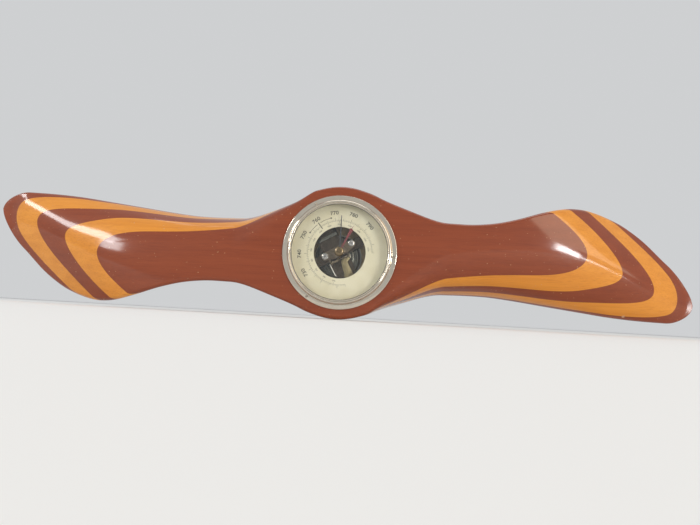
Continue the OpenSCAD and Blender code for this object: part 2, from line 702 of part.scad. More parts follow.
// Rocker between its two lugs: the link lifts its short arm, its upright arm pulls the chain
lug_t = 1.4;
lug_h = rocker_rise + 1.5;
LUG_X = [-11.7, 5.6];
rocker_arm_w = 1;
rocker_boss_r = 2.1;
rocker_boss_x = [-9, -5];
module rocker_lugs() {
    edge_z = bar_z - bar_w / 2 + 0.3;
    color("#8f7a45") in_movement() for (x = LUG_X) difference() {
        union() {
            block([x, bar_y - lug_h, edge_z], [x + lug_t, bar_y, edge_z + 3.4]);
            block([x, bar_y - lug_h, rocker_z - 1.9], [x + lug_t, bar_y - 0.7, edge_z + eps]);
        }
        cross_rod(rocker_y, rocker_z, x - 1, x + lug_t + 1, rocker_r + run_fit);
    }
}
module rocker() {
    half_w = rocker_arm_w / 2;
    end_y = rocker_y - upright_l - 0.4;
    upright_x = drum_r - 0.3;
    color("#a07a4a") in_movement() {
        cross_rod(rocker_y, rocker_z, LUG_X[0] - 0.3, LUG_X[1] + lug_t + 0.3, rocker_r);
        cross_rod(rocker_y, rocker_z, rocker_boss_x[0], rocker_boss_x[1], rocker_boss_r);
        block([link_x - half_w, rocker_y - half_w, rocker_z - link_arm_l - 0.6],
            [link_x + half_w, rocker_y + half_w, rocker_z]);
        block([upright_x, end_y, rocker_z - half_w], [upright_x + rocker_arm_w, rocker_y, rocker_z + half_w]);
    }
}
chain_w = 0.5;
chain_t = 0.3;
module chain() {
    x0 = drum_r + run_fit;
    color("#9a8a60") in_movement()
        block([x0, chain_y - chain_w / 2, rocker_z + 0.85], [x0 + chain_t, chain_y + chain_w / 2, 1.2]);
}

// Arbor with its drum and the collet of the hairspring
collet_r = 1.5;
module pointer_arbor() {
    color("#c9c4b4") in_movement() {
        along_y(hand_y - 0.4, bar_back_y - 0.1, arbor_r);
        along_y(chain_y - 0.6, bridge_y - 0.1, drum_r);
        along_y(bridge_back_y + 0.8, bridge_back_y + 2.2, collet_r);
    }
}
hairspring_y = bridge_back_y + 1.2;
hairspring_end = 810;
hairspring_pitch = 0.6;
hairspring_w = 0.15;
hairspring_stud_r = 0.6;
function coil_point(a, side) =
    let(r = collet_r + 0.25 + hairspring_pitch * a / 360 + side * hairspring_w / 2) [r * cos(a), r * sin(a)];
module hairspring() {
    color("#6a7080") in_movement() plate(hairspring_y, hairspring_y + 0.6) polygon(concat(
        [for (a = [0 : 15 : hairspring_end]) coil_point(a, 1)],
        [for (a = [hairspring_end : -15 : 0]) coil_point(a, -1)]));
}
module hairspring_stud() {
    at = coil_point(hairspring_end, 1);
    color("#8f7a45") in_movement()
        rod([at[0], at[1] + hairspring_stud_r], hairspring_y - 0.2, bar_y, hairspring_stud_r);
}

// Bridge over the arbor
module bridge_pillars() {
    color("#8f7a45") in_movement() for (x = [-bridge_x, bridge_x]) difference() {
        rod([x, bridge_screw_z], bridge_back_y, bar_y, 2);
        rod([x, bridge_screw_z], bridge_back_y - 1, bar_y + 1, screw_r + pin_fit);
    }
}
module bridge_outline() {
    half_l = bridge_x + 2.8;
    wide_x = 5.5;
    low = bar_z - bar_w / 2;
    high = bar_z + bar_w / 2;
    eye_h = 2.8;
    eye_low = bridge_screw_z - eye_h;
    eye_high = bridge_screw_z + eye_h;
    polygon([
        [-wide_x, low], [wide_x, low], [half_l, eye_low], [half_l, eye_high], [wide_x, high], [-wide_x, high],
        [-half_l, eye_high], [-half_l, eye_low]]);
}
module bridge_plate() {
    color("#7a6242") in_movement() difference() {
        plate(bridge_y, bridge_back_y) bridge_outline();
        rod([0, 0], bridge_y - 1, bridge_back_y + 1, arbor_r + run_fit);
        bridge_screw_holes(bridge_y - 1, bridge_back_y + 1, screw_r + slip);
    }
}
module bridge_screws() {
    color("#d8d4cc") in_movement() for (x = [-bridge_x, bridge_x])
        screw([x, bridge_screw_z], bridge_y, bridge_head_r, screw_head_h, screw_r,
            bar_t + bridge_gap + bar_t - slip, 40 - 15 * sign(x));
}

// Hands: half of the width at root and tip, and the hubs
hand_root = 0.8;
hand_tip = 0.35;
hand_hub_r = 2.1;
set_hand_w = 1.9;
module indicator_hand() {
    color("#1c1c20") difference() {
        union() {
            plate(hand_y, hand_y + hand_t) polygon([[-hand_root, 0], [hand_root, 0],
                [hand_tip, hand_l], [-hand_tip, hand_l]]);
            along_y(hand_y - 0.4, hand_y + 1, hand_hub_r);
        }
        along_y(hand_y - 1, hand_y + 2, arbor_r);
    }
}
set_hand_turn = 25;
module set_hand() {
    color("#b5283a") rotate([0, set_hand_turn, 0]) difference() {
        union() {
            plate(set_hand_y, set_hand_y + hand_t)
                polygon([[-0.6, 0], [-0.7, 6], [-set_hand_w, 0.72 * set_hand_l], [0, set_hand_l],
                    [set_hand_w, 0.72 * set_hand_l], [0.7, 6], [0.6, 0]]);
            along_y(set_hand_y - 0.3, set_hand_y + hand_t, stem_r + 0.8);
        }
        along_y(set_hand_y - 1, set_hand_y + 1, stem_r);
    }
}
knob_gap = 0.4;
module set_knob() {
    knob_back_y = glass_y - knob_gap;
    color("#b3985a") {
        difference() {
            turned(64) polygon([[0, knob_back_y], [knob_r - 0.8, knob_back_y], [knob_r, knob_back_y - 0.9],
                [knob_r, knob_back_y - knob_h + 1.2], [knob_r - 0.5, knob_back_y - knob_h + 0.3],
                [knob_r - 1.4, knob_back_y - knob_h], [0, knob_back_y - knob_h + 0.25]]);
            for (a = [0 : 15 : 345])
                rod(on_circle(knob_r + 0.15, a), knob_back_y - knob_h - 1, knob_back_y + 1, 0.3, 16);
        }
        along_y(knob_back_y - eps, set_hand_y + hand_t, stem_r);
    }
}

// Screw behind the spring that sets the hand to the local pressure
module adjusting_screw() {
    color("#c9c4b4") in_movement() translate([adjust_at[0], 0, adjust_at[1]]) rotate([0, 0, 180])
        screw([0, 0], -can_floor_y + 0.2, access_r - 1.3, 1, adjust_r,
            -(leaf_back_y + 2.2) + can_floor_y - 0.2, 35);
}

front_board();
light_board_front();
middle_board();
light_board_rear();
rear_board();
hanger_plate();
hanger_screws();
case_can();
bezel_ring();
bezel_pins();
glass();
glass_ring();
dial_plate();
dial_feet();
dial_foot_screws();
base_plate();
base_spacers();
base_screws();
capsule_foot();
capsule_lower_shell();
capsule_upper_shell();
capsule_stud();
stud_nut();
spring_bracket();
spring_leaf();
spring_screws();
main_lever();
lever_link();
frame_pillars();
frame_bar();
frame_screws();
rocker_lugs();
rocker();
chain();
pointer_arbor();
hairspring();
hairspring_stud();
bridge_pillars();
bridge_plate();
bridge_screws();
indicator_hand();
set_hand();
set_knob();
adjusting_screw();
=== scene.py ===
# %% [markdown]
# # A barometer in a wooden propeller
# The object is a small propeller of five glued boards, carved on both blades and lacquered, with an
# aneroid barometer let into its hub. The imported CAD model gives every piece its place. This file gives
# the pieces their finer surfaces and finishes, and puts them under soft light.

# %% Open the frame
import json
import math

import bmesh
import bpy
import numpy as np
from mathutils import Matrix


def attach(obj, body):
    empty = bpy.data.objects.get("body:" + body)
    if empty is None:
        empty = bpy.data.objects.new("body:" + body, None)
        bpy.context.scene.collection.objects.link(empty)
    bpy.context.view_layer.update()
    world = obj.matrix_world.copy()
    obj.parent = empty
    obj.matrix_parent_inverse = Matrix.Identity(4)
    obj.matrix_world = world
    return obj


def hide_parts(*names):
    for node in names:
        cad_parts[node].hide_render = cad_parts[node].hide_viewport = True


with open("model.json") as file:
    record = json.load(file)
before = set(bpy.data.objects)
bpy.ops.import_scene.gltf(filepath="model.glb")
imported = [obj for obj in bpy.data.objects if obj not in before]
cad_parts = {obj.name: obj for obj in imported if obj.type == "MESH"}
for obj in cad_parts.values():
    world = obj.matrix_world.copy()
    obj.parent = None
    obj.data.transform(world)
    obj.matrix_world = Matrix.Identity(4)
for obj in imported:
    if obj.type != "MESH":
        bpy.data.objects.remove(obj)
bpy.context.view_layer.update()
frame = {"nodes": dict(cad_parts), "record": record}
nodes = frame["nodes"]
MM = 0.001

# %% [markdown]
# ## From numbers to meshes
# Most pieces are a grid of points: a shape is a function of two parameters, and numpy works out all
# points at once. One helper turns such a grid into a mesh, another turns a flat outline into a plate.
# Doubled points are then merged and the faces turned outwards, so that poles and seams close.

# %% Clean a mesh and link it
def tidy(mesh, smooth_angle=30):
    """Merges doubled points, turns the faces outwards and keeps edges that are sharper than the angle."""
    shape = bmesh.new()
    shape.from_mesh(mesh)
    bmesh.ops.remove_doubles(shape, verts=shape.verts, dist=1e-7)
    bmesh.ops.dissolve_degenerate(shape, edges=shape.edges, dist=1e-8)
    bmesh.ops.recalc_face_normals(shape, faces=shape.faces)
    shape.to_mesh(mesh)
    shape.free()
    mesh.shade_smooth()
    mesh.set_sharp_from_angle(angle=math.radians(smooth_angle))
    return mesh


def linked(name, data):
    """New object in the scene, at the origin."""
    obj = bpy.data.objects.new(name, data)
    bpy.context.scene.collection.objects.link(obj)
    return obj


def piece(mesh, body, material, slot, *replaced):
    """Links a finished mesh as an object that rides on a body and stands for CAD nodes."""
    obj = linked(mesh.name, mesh)
    mesh.materials.clear()
    mesh.materials.append(material)
    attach(obj, body)
    if replaced:
        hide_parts(*replaced)
    return obj


# %% Surfaces from grids of points
def grid(name, points, around=False, along=False):
    """Mesh over a grid of points in mm: a face in each cell, and a wrapped side joins last to first."""
    points = np.asarray(points, float)
    rows, columns = points.shape[:2]
    i, j = np.meshgrid(np.arange(rows if along else rows - 1),
                       np.arange(columns if around else columns - 1), indexing="ij")
    next_i, next_j = (i + 1) % rows, (j + 1) % columns
    faces = np.stack([i * columns + j, i * columns + next_j, next_i * columns + next_j,
                      next_i * columns + j], -1)
    mesh = bpy.data.meshes.new(name)
    mesh.from_pydata(points.reshape(-1, 3) * MM, [], faces.reshape(-1, 4))
    return mesh


def turned(name, profile, at=(0, 0), turns=128):
    """Turned part: each (radius, level) of the closed profile goes once round an axis along Y through at."""
    radius, level = np.asarray(profile, float).T
    angle = np.linspace(0, 2 * np.pi, turns, endpoint=False)
    x = at[0] + np.outer(np.cos(angle), radius)
    z = at[1] + np.outer(np.sin(angle), radius)
    points = np.stack([x, np.broadcast_to(level, x.shape), z], -1)
    return tidy(grid(name, points, around=True, along=True))


# %% Plates and figures in the plane
def prism(name, outline, y0, y1):
    """Plate: a flat outline in X and Z, in mm, between two levels of Y."""
    outline = np.asarray(outline, float)
    count = len(outline)
    points = np.stack([np.tile(outline[:, 0], 2), np.repeat([y0, y1], count), np.tile(outline[:, 1], 2)], -1)
    here = np.arange(count)
    after = np.roll(here, -1)
    sides = np.stack([here, after, after + count, here + count], -1)
    mesh = bpy.data.meshes.new(name)
    mesh.from_pydata(points * MM, [], [*sides.tolist(), here.tolist(), (here + count)[::-1].tolist()])
    return tidy(mesh)


def circle(radius, at=(0, 0), count=96):
    """Points on a circle in the X and Z plane."""
    angle = np.linspace(0, 2 * np.pi, count, endpoint=False)
    return np.stack([at[0] + radius * np.cos(angle), at[1] + radius * np.sin(angle)], -1)


def swung(points, degrees, at=(0, 0)):
    """Points turned clockwise about the Y axis, as seen from the front, and then moved to at in X and Z."""
    a = math.radians(degrees)
    x, y, z = np.moveaxis(np.asarray(points, float), -1, 0)
    return np.stack([at[0] + x * math.cos(a) + z * math.sin(a), y,
                     at[1] + z * math.cos(a) - x * math.sin(a)], -1)


def arc(centre, radius, start, end, count=12):
    """Points of a circle's arc between two angles in degrees."""
    angle = np.radians(np.linspace(start, end, count))
    return np.stack([centre[0] + radius * np.cos(angle), centre[1] + radius * np.sin(angle)], -1)


# %% [markdown]
# ## The camera
# The photograph was taken from a little below the hub, close by and slightly tilted. The camera's place
# and turn were found by matching both blades, the hub and the bezel.

# %% Camera
EYE = np.array([23.2, -549.9, -55.7])
YAW, PITCH, ROLL = np.radians([-1.52, 5.28, 3.28])
FOCAL_PX, PHOTO_WIDTH_PX = 588.6, 700


def camera_axes(yaw, pitch, roll):
    """Right, up and forward of a camera that looks along +Y, turned by yaw, then pitch, then roll."""
    forward = np.array([np.sin(yaw) * np.cos(pitch), np.cos(yaw) * np.cos(pitch), np.sin(pitch)])
    level = np.array([np.cos(yaw), -np.sin(yaw), 0.0])
    upright = np.cross(level, forward)
    return (level * np.cos(roll) + upright * np.sin(roll), upright * np.cos(roll) - level * np.sin(roll),
            forward)


def aim(obj, side, upright, away, place):
    """Turns an object to look against away, with side to its right, and puts it at a place in metres."""
    placing = np.eye(4)
    placing[:3] = np.stack([side, upright, away, place], -1)
    obj.matrix_world = Matrix(placing.tolist())


right, up, forward = camera_axes(YAW, PITCH, ROLL)
camera_data = bpy.data.cameras.new("camera")
camera_data.lens = FOCAL_PX / PHOTO_WIDTH_PX * camera_data.sensor_width
camera_data.clip_start = 0.001
camera = linked("camera", camera_data)
aim(camera, right, up, -forward, EYE * MM)
bpy.context.scene.camera = camera
print("lens:", round(camera_data.lens, 2), "mm")

# %% [markdown]
# ## Finishes
# Each finish is one Principled shader. What varies over a surface, such as grain or scratches, comes from
# noise on Object coordinates, in metres, so it stays in place on every piece. What is the same all over
# is set on the shader itself.

# %% Shaders and their nodes
def finish(name, **sockets):
    """New material whose Principled shader has the given sockets; underscores stand for spaces."""
    material = bpy.data.materials.new(name)
    material.use_nodes = True
    shader = material.node_tree.nodes["Principled BSDF"]
    for socket, value in sockets.items():
        shader.inputs[socket.replace("_", " ")].default_value = value
    return material


def add(material, kind, inputs=(), **settings):
    """Adds a shader node; inputs gives (socket, value or output to link) pairs."""
    made = material.node_tree.nodes.new("ShaderNode" + kind)
    for setting, value in settings.items():
        setattr(made, setting, value)
    for socket, value in inputs:
        if isinstance(value, bpy.types.NodeSocket):
            material.node_tree.links.new(value, made.inputs[socket])
        else:
            made.inputs[socket].default_value = value
    return made


def feed(material, socket, output):
    """Links an output to one socket of the Principled shader."""
    material.node_tree.links.new(output, material.node_tree.nodes["Principled BSDF"].inputs[socket])


# %% Patterns that vary over a surface
def streaks(material, per_metre, detail=4.0, roughness=0.55):
    """Noise on Object coordinates with its own number of features per metre along X, Y and Z."""
    place = add(material, "TexCoord").outputs["Object"]
    scaled = add(material, "Mapping", [("Vector", place), ("Scale", per_metre)]).outputs["Vector"]
    return add(material, "TexNoise", [("Vector", scaled), ("Scale", 1.0), ("Detail", detail),
                                      ("Roughness", roughness)]).outputs["Fac"]


def ramp(material, value, *stops):
    """Colour ramp over a value; each stop is (place, colour)."""
    node = add(material, "ValToRGB", [("Fac", value)])
    for _ in stops[2:]:
        node.color_ramp.elements.new(0.5)
    for element, (place, colour) in zip(node.color_ramp.elements, stops):
        element.position = place
        element.color = (*colour, 1.0)
    return node.outputs["Color"]


def spread(material, value, low, high):
    """Maps a noise that mostly lies between 0.3 and 0.7 to the range from low to high."""
    return add(material, "MapRange", [("Value", value), ("From Min", 0.3), ("From Max", 0.7), ("To Min", low),
                                      ("To Max", high)]).outputs["Result"]


def chip(material, place, radius):
    """1 within about radius of a place, both in metres, with a ragged edge; 0 elsewhere."""
    here = add(material, "TexCoord").outputs["Object"]
    away = add(material, "VectorMath", [(0, here), (1, place)], operation="DISTANCE").outputs["Value"]
    ragged = streaks(material, (900.0,) * 3)
    limit = add(material, "Math", [(0, ragged), (1, 2 * radius)], operation="MULTIPLY").outputs["Value"]
    return add(material, "Math", [(0, away), (1, limit)], operation="LESS_THAN").outputs["Value"]


def bump(material, height, strength, distance):
    """Small relief in the shader, from a height."""
    relief = add(material, "Bump", [("Height", height), ("Strength", strength), ("Distance", distance)])
    feed(material, "Normal", relief.outputs["Normal"])


# %% [markdown]
# ### Lacquered wood
# The boards are veneer-like strips of reddish brown and of orange wood, with a fine straight grain along
# the blades, under a thick gloss lacquer. Long thin noise gives the grain, a coat gives the lacquer, and
# a very low relief under it makes the reflections as uneven as those of a polish done by hand.

# %% Woods
CHIP_PLACE, CHIP_R = (0.2595, -0.0078, -0.0414), 0.0013
BARE_WOOD = (0.52, 0.30, 0.15, 1.0)


def lacquered_wood(name, dark, middle, light):
    """Wood: long streaks choose between three tones, finer ones darken the pores, specks mark the lacquer."""
    material = finish(name, Roughness=0.45, Specular_IOR_Level=0.1, Coat_Weight=1.0, Coat_Roughness=0.11,
                      Coat_IOR=1.5)
    figure = streaks(material, (5.0, 150.0, 150.0), 5.0)
    pores = streaks(material, (22.0, 1500.0, 1500.0), 2.0)
    tone = ramp(material, figure, (0.25, dark), (0.5, middle), (0.75, light))
    shade = ramp(material, pores, (0.36, (0.89, 0.85, 0.81)), (0.5, (1.0, 1.0, 1.0)))
    grained = add(material, "MixRGB", [("Fac", 1.0), ("Color1", tone), ("Color2", shade)],
                  blend_type="MULTIPLY")
    specks = ramp(material, streaks(material, (640.0, 640.0, 640.0), 1.0), (0.76, (0.0, 0.0, 0.0)),
                  (0.79, (1.0, 1.0, 1.0)))
    bare = add(material, "Math", [(0, specks), (1, chip(material, CHIP_PLACE, CHIP_R))],
               operation="MAXIMUM").outputs["Value"]
    worn = add(material, "MixRGB", [("Fac", bare), ("Color1", grained.outputs["Color"]),
                                    ("Color2", BARE_WOOD)])
    feed(material, "Base Color", worn.outputs["Color"])
    swell = streaks(material, (75.0, 75.0, 75.0), 2.0)
    relief = add(material, "Math", [(0, swell), (1, bare)], operation="SUBTRACT")
    bump(material, relief.outputs["Value"], 0.12, 0.0004)
    return material


brown_wood = lacquered_wood("brown_wood", (0.190, 0.031, 0.004), (0.218, 0.038, 0.006), (0.243, 0.046, 0.009))
orange_wood = lacquered_wood("orange_wood", (0.58, 0.205, 0.015), (0.65, 0.245, 0.021), (0.71, 0.283, 0.030))
print("nodes in the wood's shader:", len(brown_wood.node_tree.nodes))


# %% [markdown]
# ### Metals
# The bezel is chromed and polished, and the movement is brass and steel with fine brush marks. One number
# would make metal look like plastic, so a noise stretched along the marks moves its roughness, and a soft
# one dulls its colour in patches, as tarnish does.

# %% Metals
def metal(name, colour, roughness, per_metre=(300.0, 300.0, 2500.0), tarnish=0.0, relief=0.05):
    """Metal with marks: a stretched noise moves the roughness, and a soft one dulls the colour in patches."""
    material = finish(name, Base_Color=(*colour, 1.0), Metallic=1.0)
    marks = streaks(material, per_metre, 3.0)
    feed(material, "Roughness", spread(material, marks, roughness * 0.75, roughness * 1.3))
    if tarnish:
        dull = tuple(channel * (1 - tarnish) for channel in colour)
        patches = streaks(material, (220.0, 220.0, 220.0), 5.0)
        feed(material, "Base Color", ramp(material, patches, (0.35, dull), (0.62, colour)))
    if relief:
        bump(material, marks, relief, 0.00004)
    return material


chrome = metal("polished_chrome", (0.65, 0.59, 0.49), 0.10, (120.0, 120.0, 120.0), tarnish=0.06, relief=0.02)
pin_nickel = metal("pin_nickel", (0.42, 0.38, 0.33), 0.25, tarnish=0.3)
brass = metal("brass", (0.60, 0.47, 0.23), 0.28, tarnish=0.25)
worn_brass = metal("worn_brass", (0.23, 0.18, 0.115), 0.2, (900.0, 900.0, 900.0), tarnish=0.35)
old_brass = metal("aged_brass", (0.34, 0.25, 0.13), 0.4, tarnish=0.4)
dark_bronze = metal("dark_bronze", (0.165, 0.128, 0.086), 0.38, tarnish=0.4)
pale_gold = metal("pale_gold", (0.25, 0.205, 0.11), 0.42, tarnish=0.2)
# Bright ground steel: the spring's filed bevel, and a flat strip that paints a highlight along its edge.
ground_steel_and_highlight = metal("ground_steel_and_highlight", (0.78, 0.74, 0.66), 0.5)
steel = metal("bright_steel", (0.44, 0.415, 0.385), 0.2)
dark_steel = metal("browned_steel", (0.078, 0.060, 0.042), 0.42, (200.0, 200.0, 200.0), tarnish=0.4)
blued_steel = metal("blued_steel", (0.10, 0.13, 0.24), 0.25)
capsule_metal = metal("dull_nickel", (0.19, 0.185, 0.15), 0.17, (150.0, 150.0, 150.0), tarnish=0.3, relief=0)
case_metal = metal("case_brass", (0.42, 0.33, 0.17), 0.42, tarnish=0.35)


# %% [markdown]
# ### Paint, ink, card and glass
# The hands are painted, the dial is cream card with worn black print, and the pane is clear glass. Flat
# colours of this kind are never quite even, so each wanders between two close tones in soft spots.

# %% Paint, ink, card and glass
def mottled(name, dark, light, per_metre, **sockets):
    """Finish whose colour wanders between two tones in soft spots."""
    material = finish(name, **sockets)
    spots = streaks(material, (per_metre,) * 3, 5.0)
    feed(material, "Base Color", ramp(material, spots, (0.35, dark), (0.65, light)))
    return material


black_paint = mottled("black_paint", (0.012, 0.012, 0.014), (0.024, 0.023, 0.025), 900, Roughness=0.35,
                      Coat_Weight=0.4)
red_paint = mottled("red_paint", (0.125, 0.008, 0.010), (0.175, 0.012, 0.014), 700, Roughness=0.33,
                    Coat_Weight=0.5)
ink = mottled("ink", (0.030, 0.027, 0.022), (0.06, 0.053, 0.042), 1500, Roughness=0.6)
pale_ink = mottled("pale_ink", (0.085, 0.082, 0.062), (0.16, 0.15, 0.115), 1500, Roughness=0.6)
dial_card = mottled("dial_card", (0.600, 0.552, 0.378), (0.665, 0.622, 0.455), 60, Roughness=0.5)
clear_glass = finish("clear_glass", Base_Color=(0.97, 0.985, 0.98, 1.0), Transmission_Weight=1.0, IOR=1.45)
feed(clear_glass, "Roughness", spread(clear_glass, streaks(clear_glass, (60.0,) * 3), 0.0, 0.012))
print("finishes:", len(bpy.data.materials))

# %% [markdown]
# ## The carved propeller
# A real one is glued up from flat boards and carved, so the joints between the boards show as contour
# lines: nested bands round each tip and stripes along the waist. So the skin is one formula, and the
# boards are cut out of it by flat planes, instead of painting stripes on it.
# The blade's outline comes from two curves. Its front drops away along the lower edge, exponentially,
# and towards the tip, on a soft slope. Its back lies on the wall at one edge and rises to the other.

# %% Sizes of the propeller
HALF_SPAN, HUB_R, WAIST, WAIST_FILLET = 324.0, 58.5, 31.0, 120.0
BOARD_T, BODY_T, EDGE_R, EDGE_T = 8.0, 40.0, 3.0, 6.8
ROLL_DEPTH, ROLL_START, ROLL_GROWTH, ROLL_WAIST, ROLL_LEAST = 33.0, 10.0, 1.6, 9.2, 0.6
CARVE_EARLY, CARVE_LENGTH = 8.0, 20.0
NOSE_Z, NOSE_L = -24.0, 24.0
TIP_TURN, TIP_SLOPE, TIP_BACK, TIP_SOFT = math.radians(55), 0.76, 24.0, 9.0
EDGE_ROUND, TIP_ROUND, TIP_L = 1.0, 2.2, 60.0
WAIST_X = math.sqrt((HUB_R + WAIST_FILLET) ** 2 - (WAIST + WAIST_FILLET) ** 2)
FILLET_X = WAIST_X * HUB_R / (HUB_R + WAIST_FILLET)
SHOULDER_H, SHOULDER_X = 4.0, 16.0
LEADING_EDGE = [(0, 31), (0.09, 31), (0.18, 33.5), (0.27, 38.8), (0.36, 45.8), (0.46, 52), (0.53, 53.6),
                (0.59, 52.3), (0.66, 48), (0.72, 42), (0.8, 29.3), (0.89, 10), (1, -11)]
TRAILING_EDGE = [(0, -31), (0.09, -30.5), (0.18, -30.8), (0.28, -32.8), (0.41, -36.3), (0.55, -40),
                 (0.68, -43.3), (0.81, -45), (1, -45.5)]
ROLL_LENGTH = [(0, ROLL_WAIST), (0.24, 13.4), (0.46, 19), (0.68, 32), (1, 35)]
BACK_POWER = [(0, 2 * WAIST / ROLL_WAIST), (0.12, 4), (0.25, 2), (0.42, 1), (0.55, 0.8), (1, 0.8)]
BACK_HOLLOW = [(0, 0), (0.2, 3), (0.42, 7), (0.7, 6), (0.9, 1.5), (1, 0)]
print("a blade's length from its waist:", round(HALF_SPAN - WAIST_X, 1), "mm")


# %% Curves along the blade
def curve(points, x):
    """Cubic through the points; the slope at each is that of the line between its two neighbours."""
    px, py = np.array(points, float).T
    slope = np.gradient(py, px, edge_order=1)
    slope[1:-1] = (py[2:] - py[:-2]) / (px[2:] - px[:-2])
    i = np.clip(np.searchsorted(px, x, side="right") - 1, 0, len(px) - 2)
    d = px[i + 1] - px[i]
    t = (x - px[i]) / d
    return (py[i] * (2 * t ** 3 - 3 * t ** 2 + 1) + slope[i] * d * (t ** 3 - 2 * t ** 2 + t)
            + py[i + 1] * (3 * t ** 2 - 2 * t ** 3) + slope[i + 1] * d * (t ** 3 - t ** 2))


def ease(t):
    """From 0 to 1 with a soft start and end: three t squared less two t cubed."""
    t = np.clip(t, 0, 1)
    return t * t * (3 - 2 * t)


def soft_ramp(t, soft):
    """The larger of 0 and t, its corner rounded: half of t plus the root of t squared plus 4 soft squared."""
    return (np.sqrt(t * t + 4 * soft * soft) + t) / 2


def share(x):
    """Share of the way from the waist to the tip."""
    return np.clip((x - WAIST_X) / (HALF_SPAN - WAIST_X), 0, 1)


def hub_edge(x):
    """Height of hub and waist: the hub's circle, then the hollow arc that meets it, plus a soft shoulder."""
    s = np.clip((x - SHOULDER_X) / (WAIST_X - SHOULDER_X), 0, 1)
    hollow = WAIST + WAIST_FILLET - np.sqrt(np.maximum(WAIST_FILLET ** 2 - (WAIST_X - x) ** 2, 0))
    plain = np.where(x < FILLET_X, np.sqrt(np.maximum(HUB_R ** 2 - x * x, 0)), hollow)
    return plain + SHOULDER_H * (4 * s * (1 - s)) ** 2


def middle_and_half(x):
    """Middle of the blade's height and half of that height; an ellipse closes both at the nose."""
    lead = np.where(x < WAIST_X, hub_edge(x), curve(LEADING_EDGE, share(x)))
    trail = np.where(x < WAIST_X, -hub_edge(x), curve(TRAILING_EDGE, share(x)))
    nose = np.sqrt(np.maximum(1 - np.maximum((x - HALF_SPAN + NOSE_L) / NOSE_L, 0) ** 2, 0))
    return (lead + trail) / 2, nose * (lead - trail) / 2


# %% Front and back of the blade
def roll_length(x):
    """Length over which the carved lower edge fades out; near the hub, a power of the way to the waist."""
    near = np.clip((x - ROLL_START) / (WAIST_X - ROLL_START), 0, None) ** ROLL_GROWTH
    near = np.maximum(ROLL_LEAST, ROLL_WAIST * near)
    return np.where(x < WAIST_X, near, curve(ROLL_LENGTH, share(x)))


def carved(x):
    """0 on the hub's face, 1 on the blade."""
    return ease((x - FILLET_X + CARVE_EARLY) / CARVE_LENGTH)


def front_level(x, z):
    """Level of the front: full depth, less an exponential roll at the lower edge and a slope to the tip."""
    middle, half = middle_and_half(x)
    along = (x - HALF_SPAN) * math.cos(TIP_TURN) + (z - NOSE_Z) * math.sin(TIP_TURN) + TIP_BACK
    roll = ROLL_DEPTH * np.exp(-(z - middle + half) / roll_length(x))
    drop = carved(x) * (TIP_SLOPE * soft_ramp(along, TIP_SOFT) + roll)
    proud = BODY_T - drop - EDGE_T / 2
    soft = EDGE_ROUND + (TIP_ROUND - EDGE_ROUND) * ease((x - HALF_SPAN + TIP_L) / TIP_L)
    return -EDGE_T / 2 - np.where(drop < 0.01, proud, soft_ramp(proud, soft))


def back_level(x, z):
    """Level of the back: on the wall at the lower edge, rising by a power to meet the front's upper edge."""
    middle, half = middle_and_half(x)
    top = middle + half
    down = np.clip((top - z) / (2 * half), 0, 1)
    rise = carved(x) * np.maximum(0, -front_level(x, top) - EDGE_T)
    power = np.where(x < WAIST_X, 2 * hub_edge(x) / roll_length(x), curve(BACK_POWER, share(x)))
    return -rise * (1 - down) ** power - 4 * down * (1 - down) * curve(BACK_HOLLOW, share(x))


def half_skin(x, v):
    """Front and back of one blade on a grid of stations x and shares v of the half height, edges rounded."""
    middle, half = middle_and_half(x)
    z = middle + v * half
    front, back = front_level(x, z), back_level(x, z)
    thick = (back - front) / 2
    r = np.minimum(EDGE_R, 0.9 * np.minimum(thick, half))
    s = np.clip((np.abs(v) * half - half + r) / r, 0, 1)
    kept = thick - r * (1 - np.sqrt(1 - s * s))
    level = (front + back) / 2
    x = np.broadcast_to(x, z.shape)
    return np.stack([x, level - kept, z], -1), np.stack([x, level + kept, z], -1)


# %% [markdown]
# The stations lie closer in the waist's hollow and at the nose, and the columns closer at both edges,
# where the skin bends most. The left blade is the right one turned half a turn about the hub's axis.

# %% The skin of the whole propeller
way = np.linspace(0, 1, 200)[:, None]
stations = (HALF_SPAN - 0.05) * np.sin(np.pi / 2 * (0.62 * way + 0.38 * way ** 3))
columns = np.sin(np.pi / 2 * np.linspace(-1, 1, 97))[None, :]
front, back = half_skin(stations, columns)
half_turn = np.array([-1, 1, -1])
ring_right = np.concatenate([front, back[:, ::-1]], 1)
ring_left = np.concatenate([front[:, ::-1], back], 1) * half_turn
rings = np.concatenate([ring_left[:0:-1], ring_right])
skin = grid("skin", rings, around=True)
print("skin:", len(skin.polygons), "faces")


def close_ends(mesh, rows, count):
    """Closes both blade ends with a strip between the front's and the back's last points."""
    j = np.arange(count // 2 - 1)
    ends = np.stack([j, j + 1, count - 2 - j, count - 1 - j], -1)
    points = np.empty(len(mesh.vertices) * 3)
    mesh.vertices.foreach_get("co", points)
    corners = np.empty(len(mesh.loops), int)
    mesh.loops.foreach_get("vertex_index", corners)
    faces = np.concatenate([corners.reshape(-1, 4), ends, ends + (rows - 1) * count])
    closed = bpy.data.meshes.new("closed_skin")
    closed.from_pydata(points.reshape(-1, 3), [], faces)
    return tidy(closed, 60)


skin = close_ends(skin, len(rings), rings.shape[1])
skin_normals = np.empty(len(skin.loops) * 3)
skin.corner_normals.foreach_get("vector", skin_normals)
skin.attributes.new("skin_normal", "FLOAT_VECTOR", "CORNER").data.foreach_set("vector", skin_normals)


# %% [markdown]
# ## Cutting the boards
# Each board is the skin between two glue planes. Blender's bisect cuts the mesh at a plane, and the cut
# is closed by filling its outline with triangles. The bore for the case, the recess for the hanger and
# the access hole at the back are then taken out of the boards that hold them. The whole propeller was
# polished after gluing, so its gloss runs over the joints without a break: every board keeps the
# directions in which the uncut skin faced.

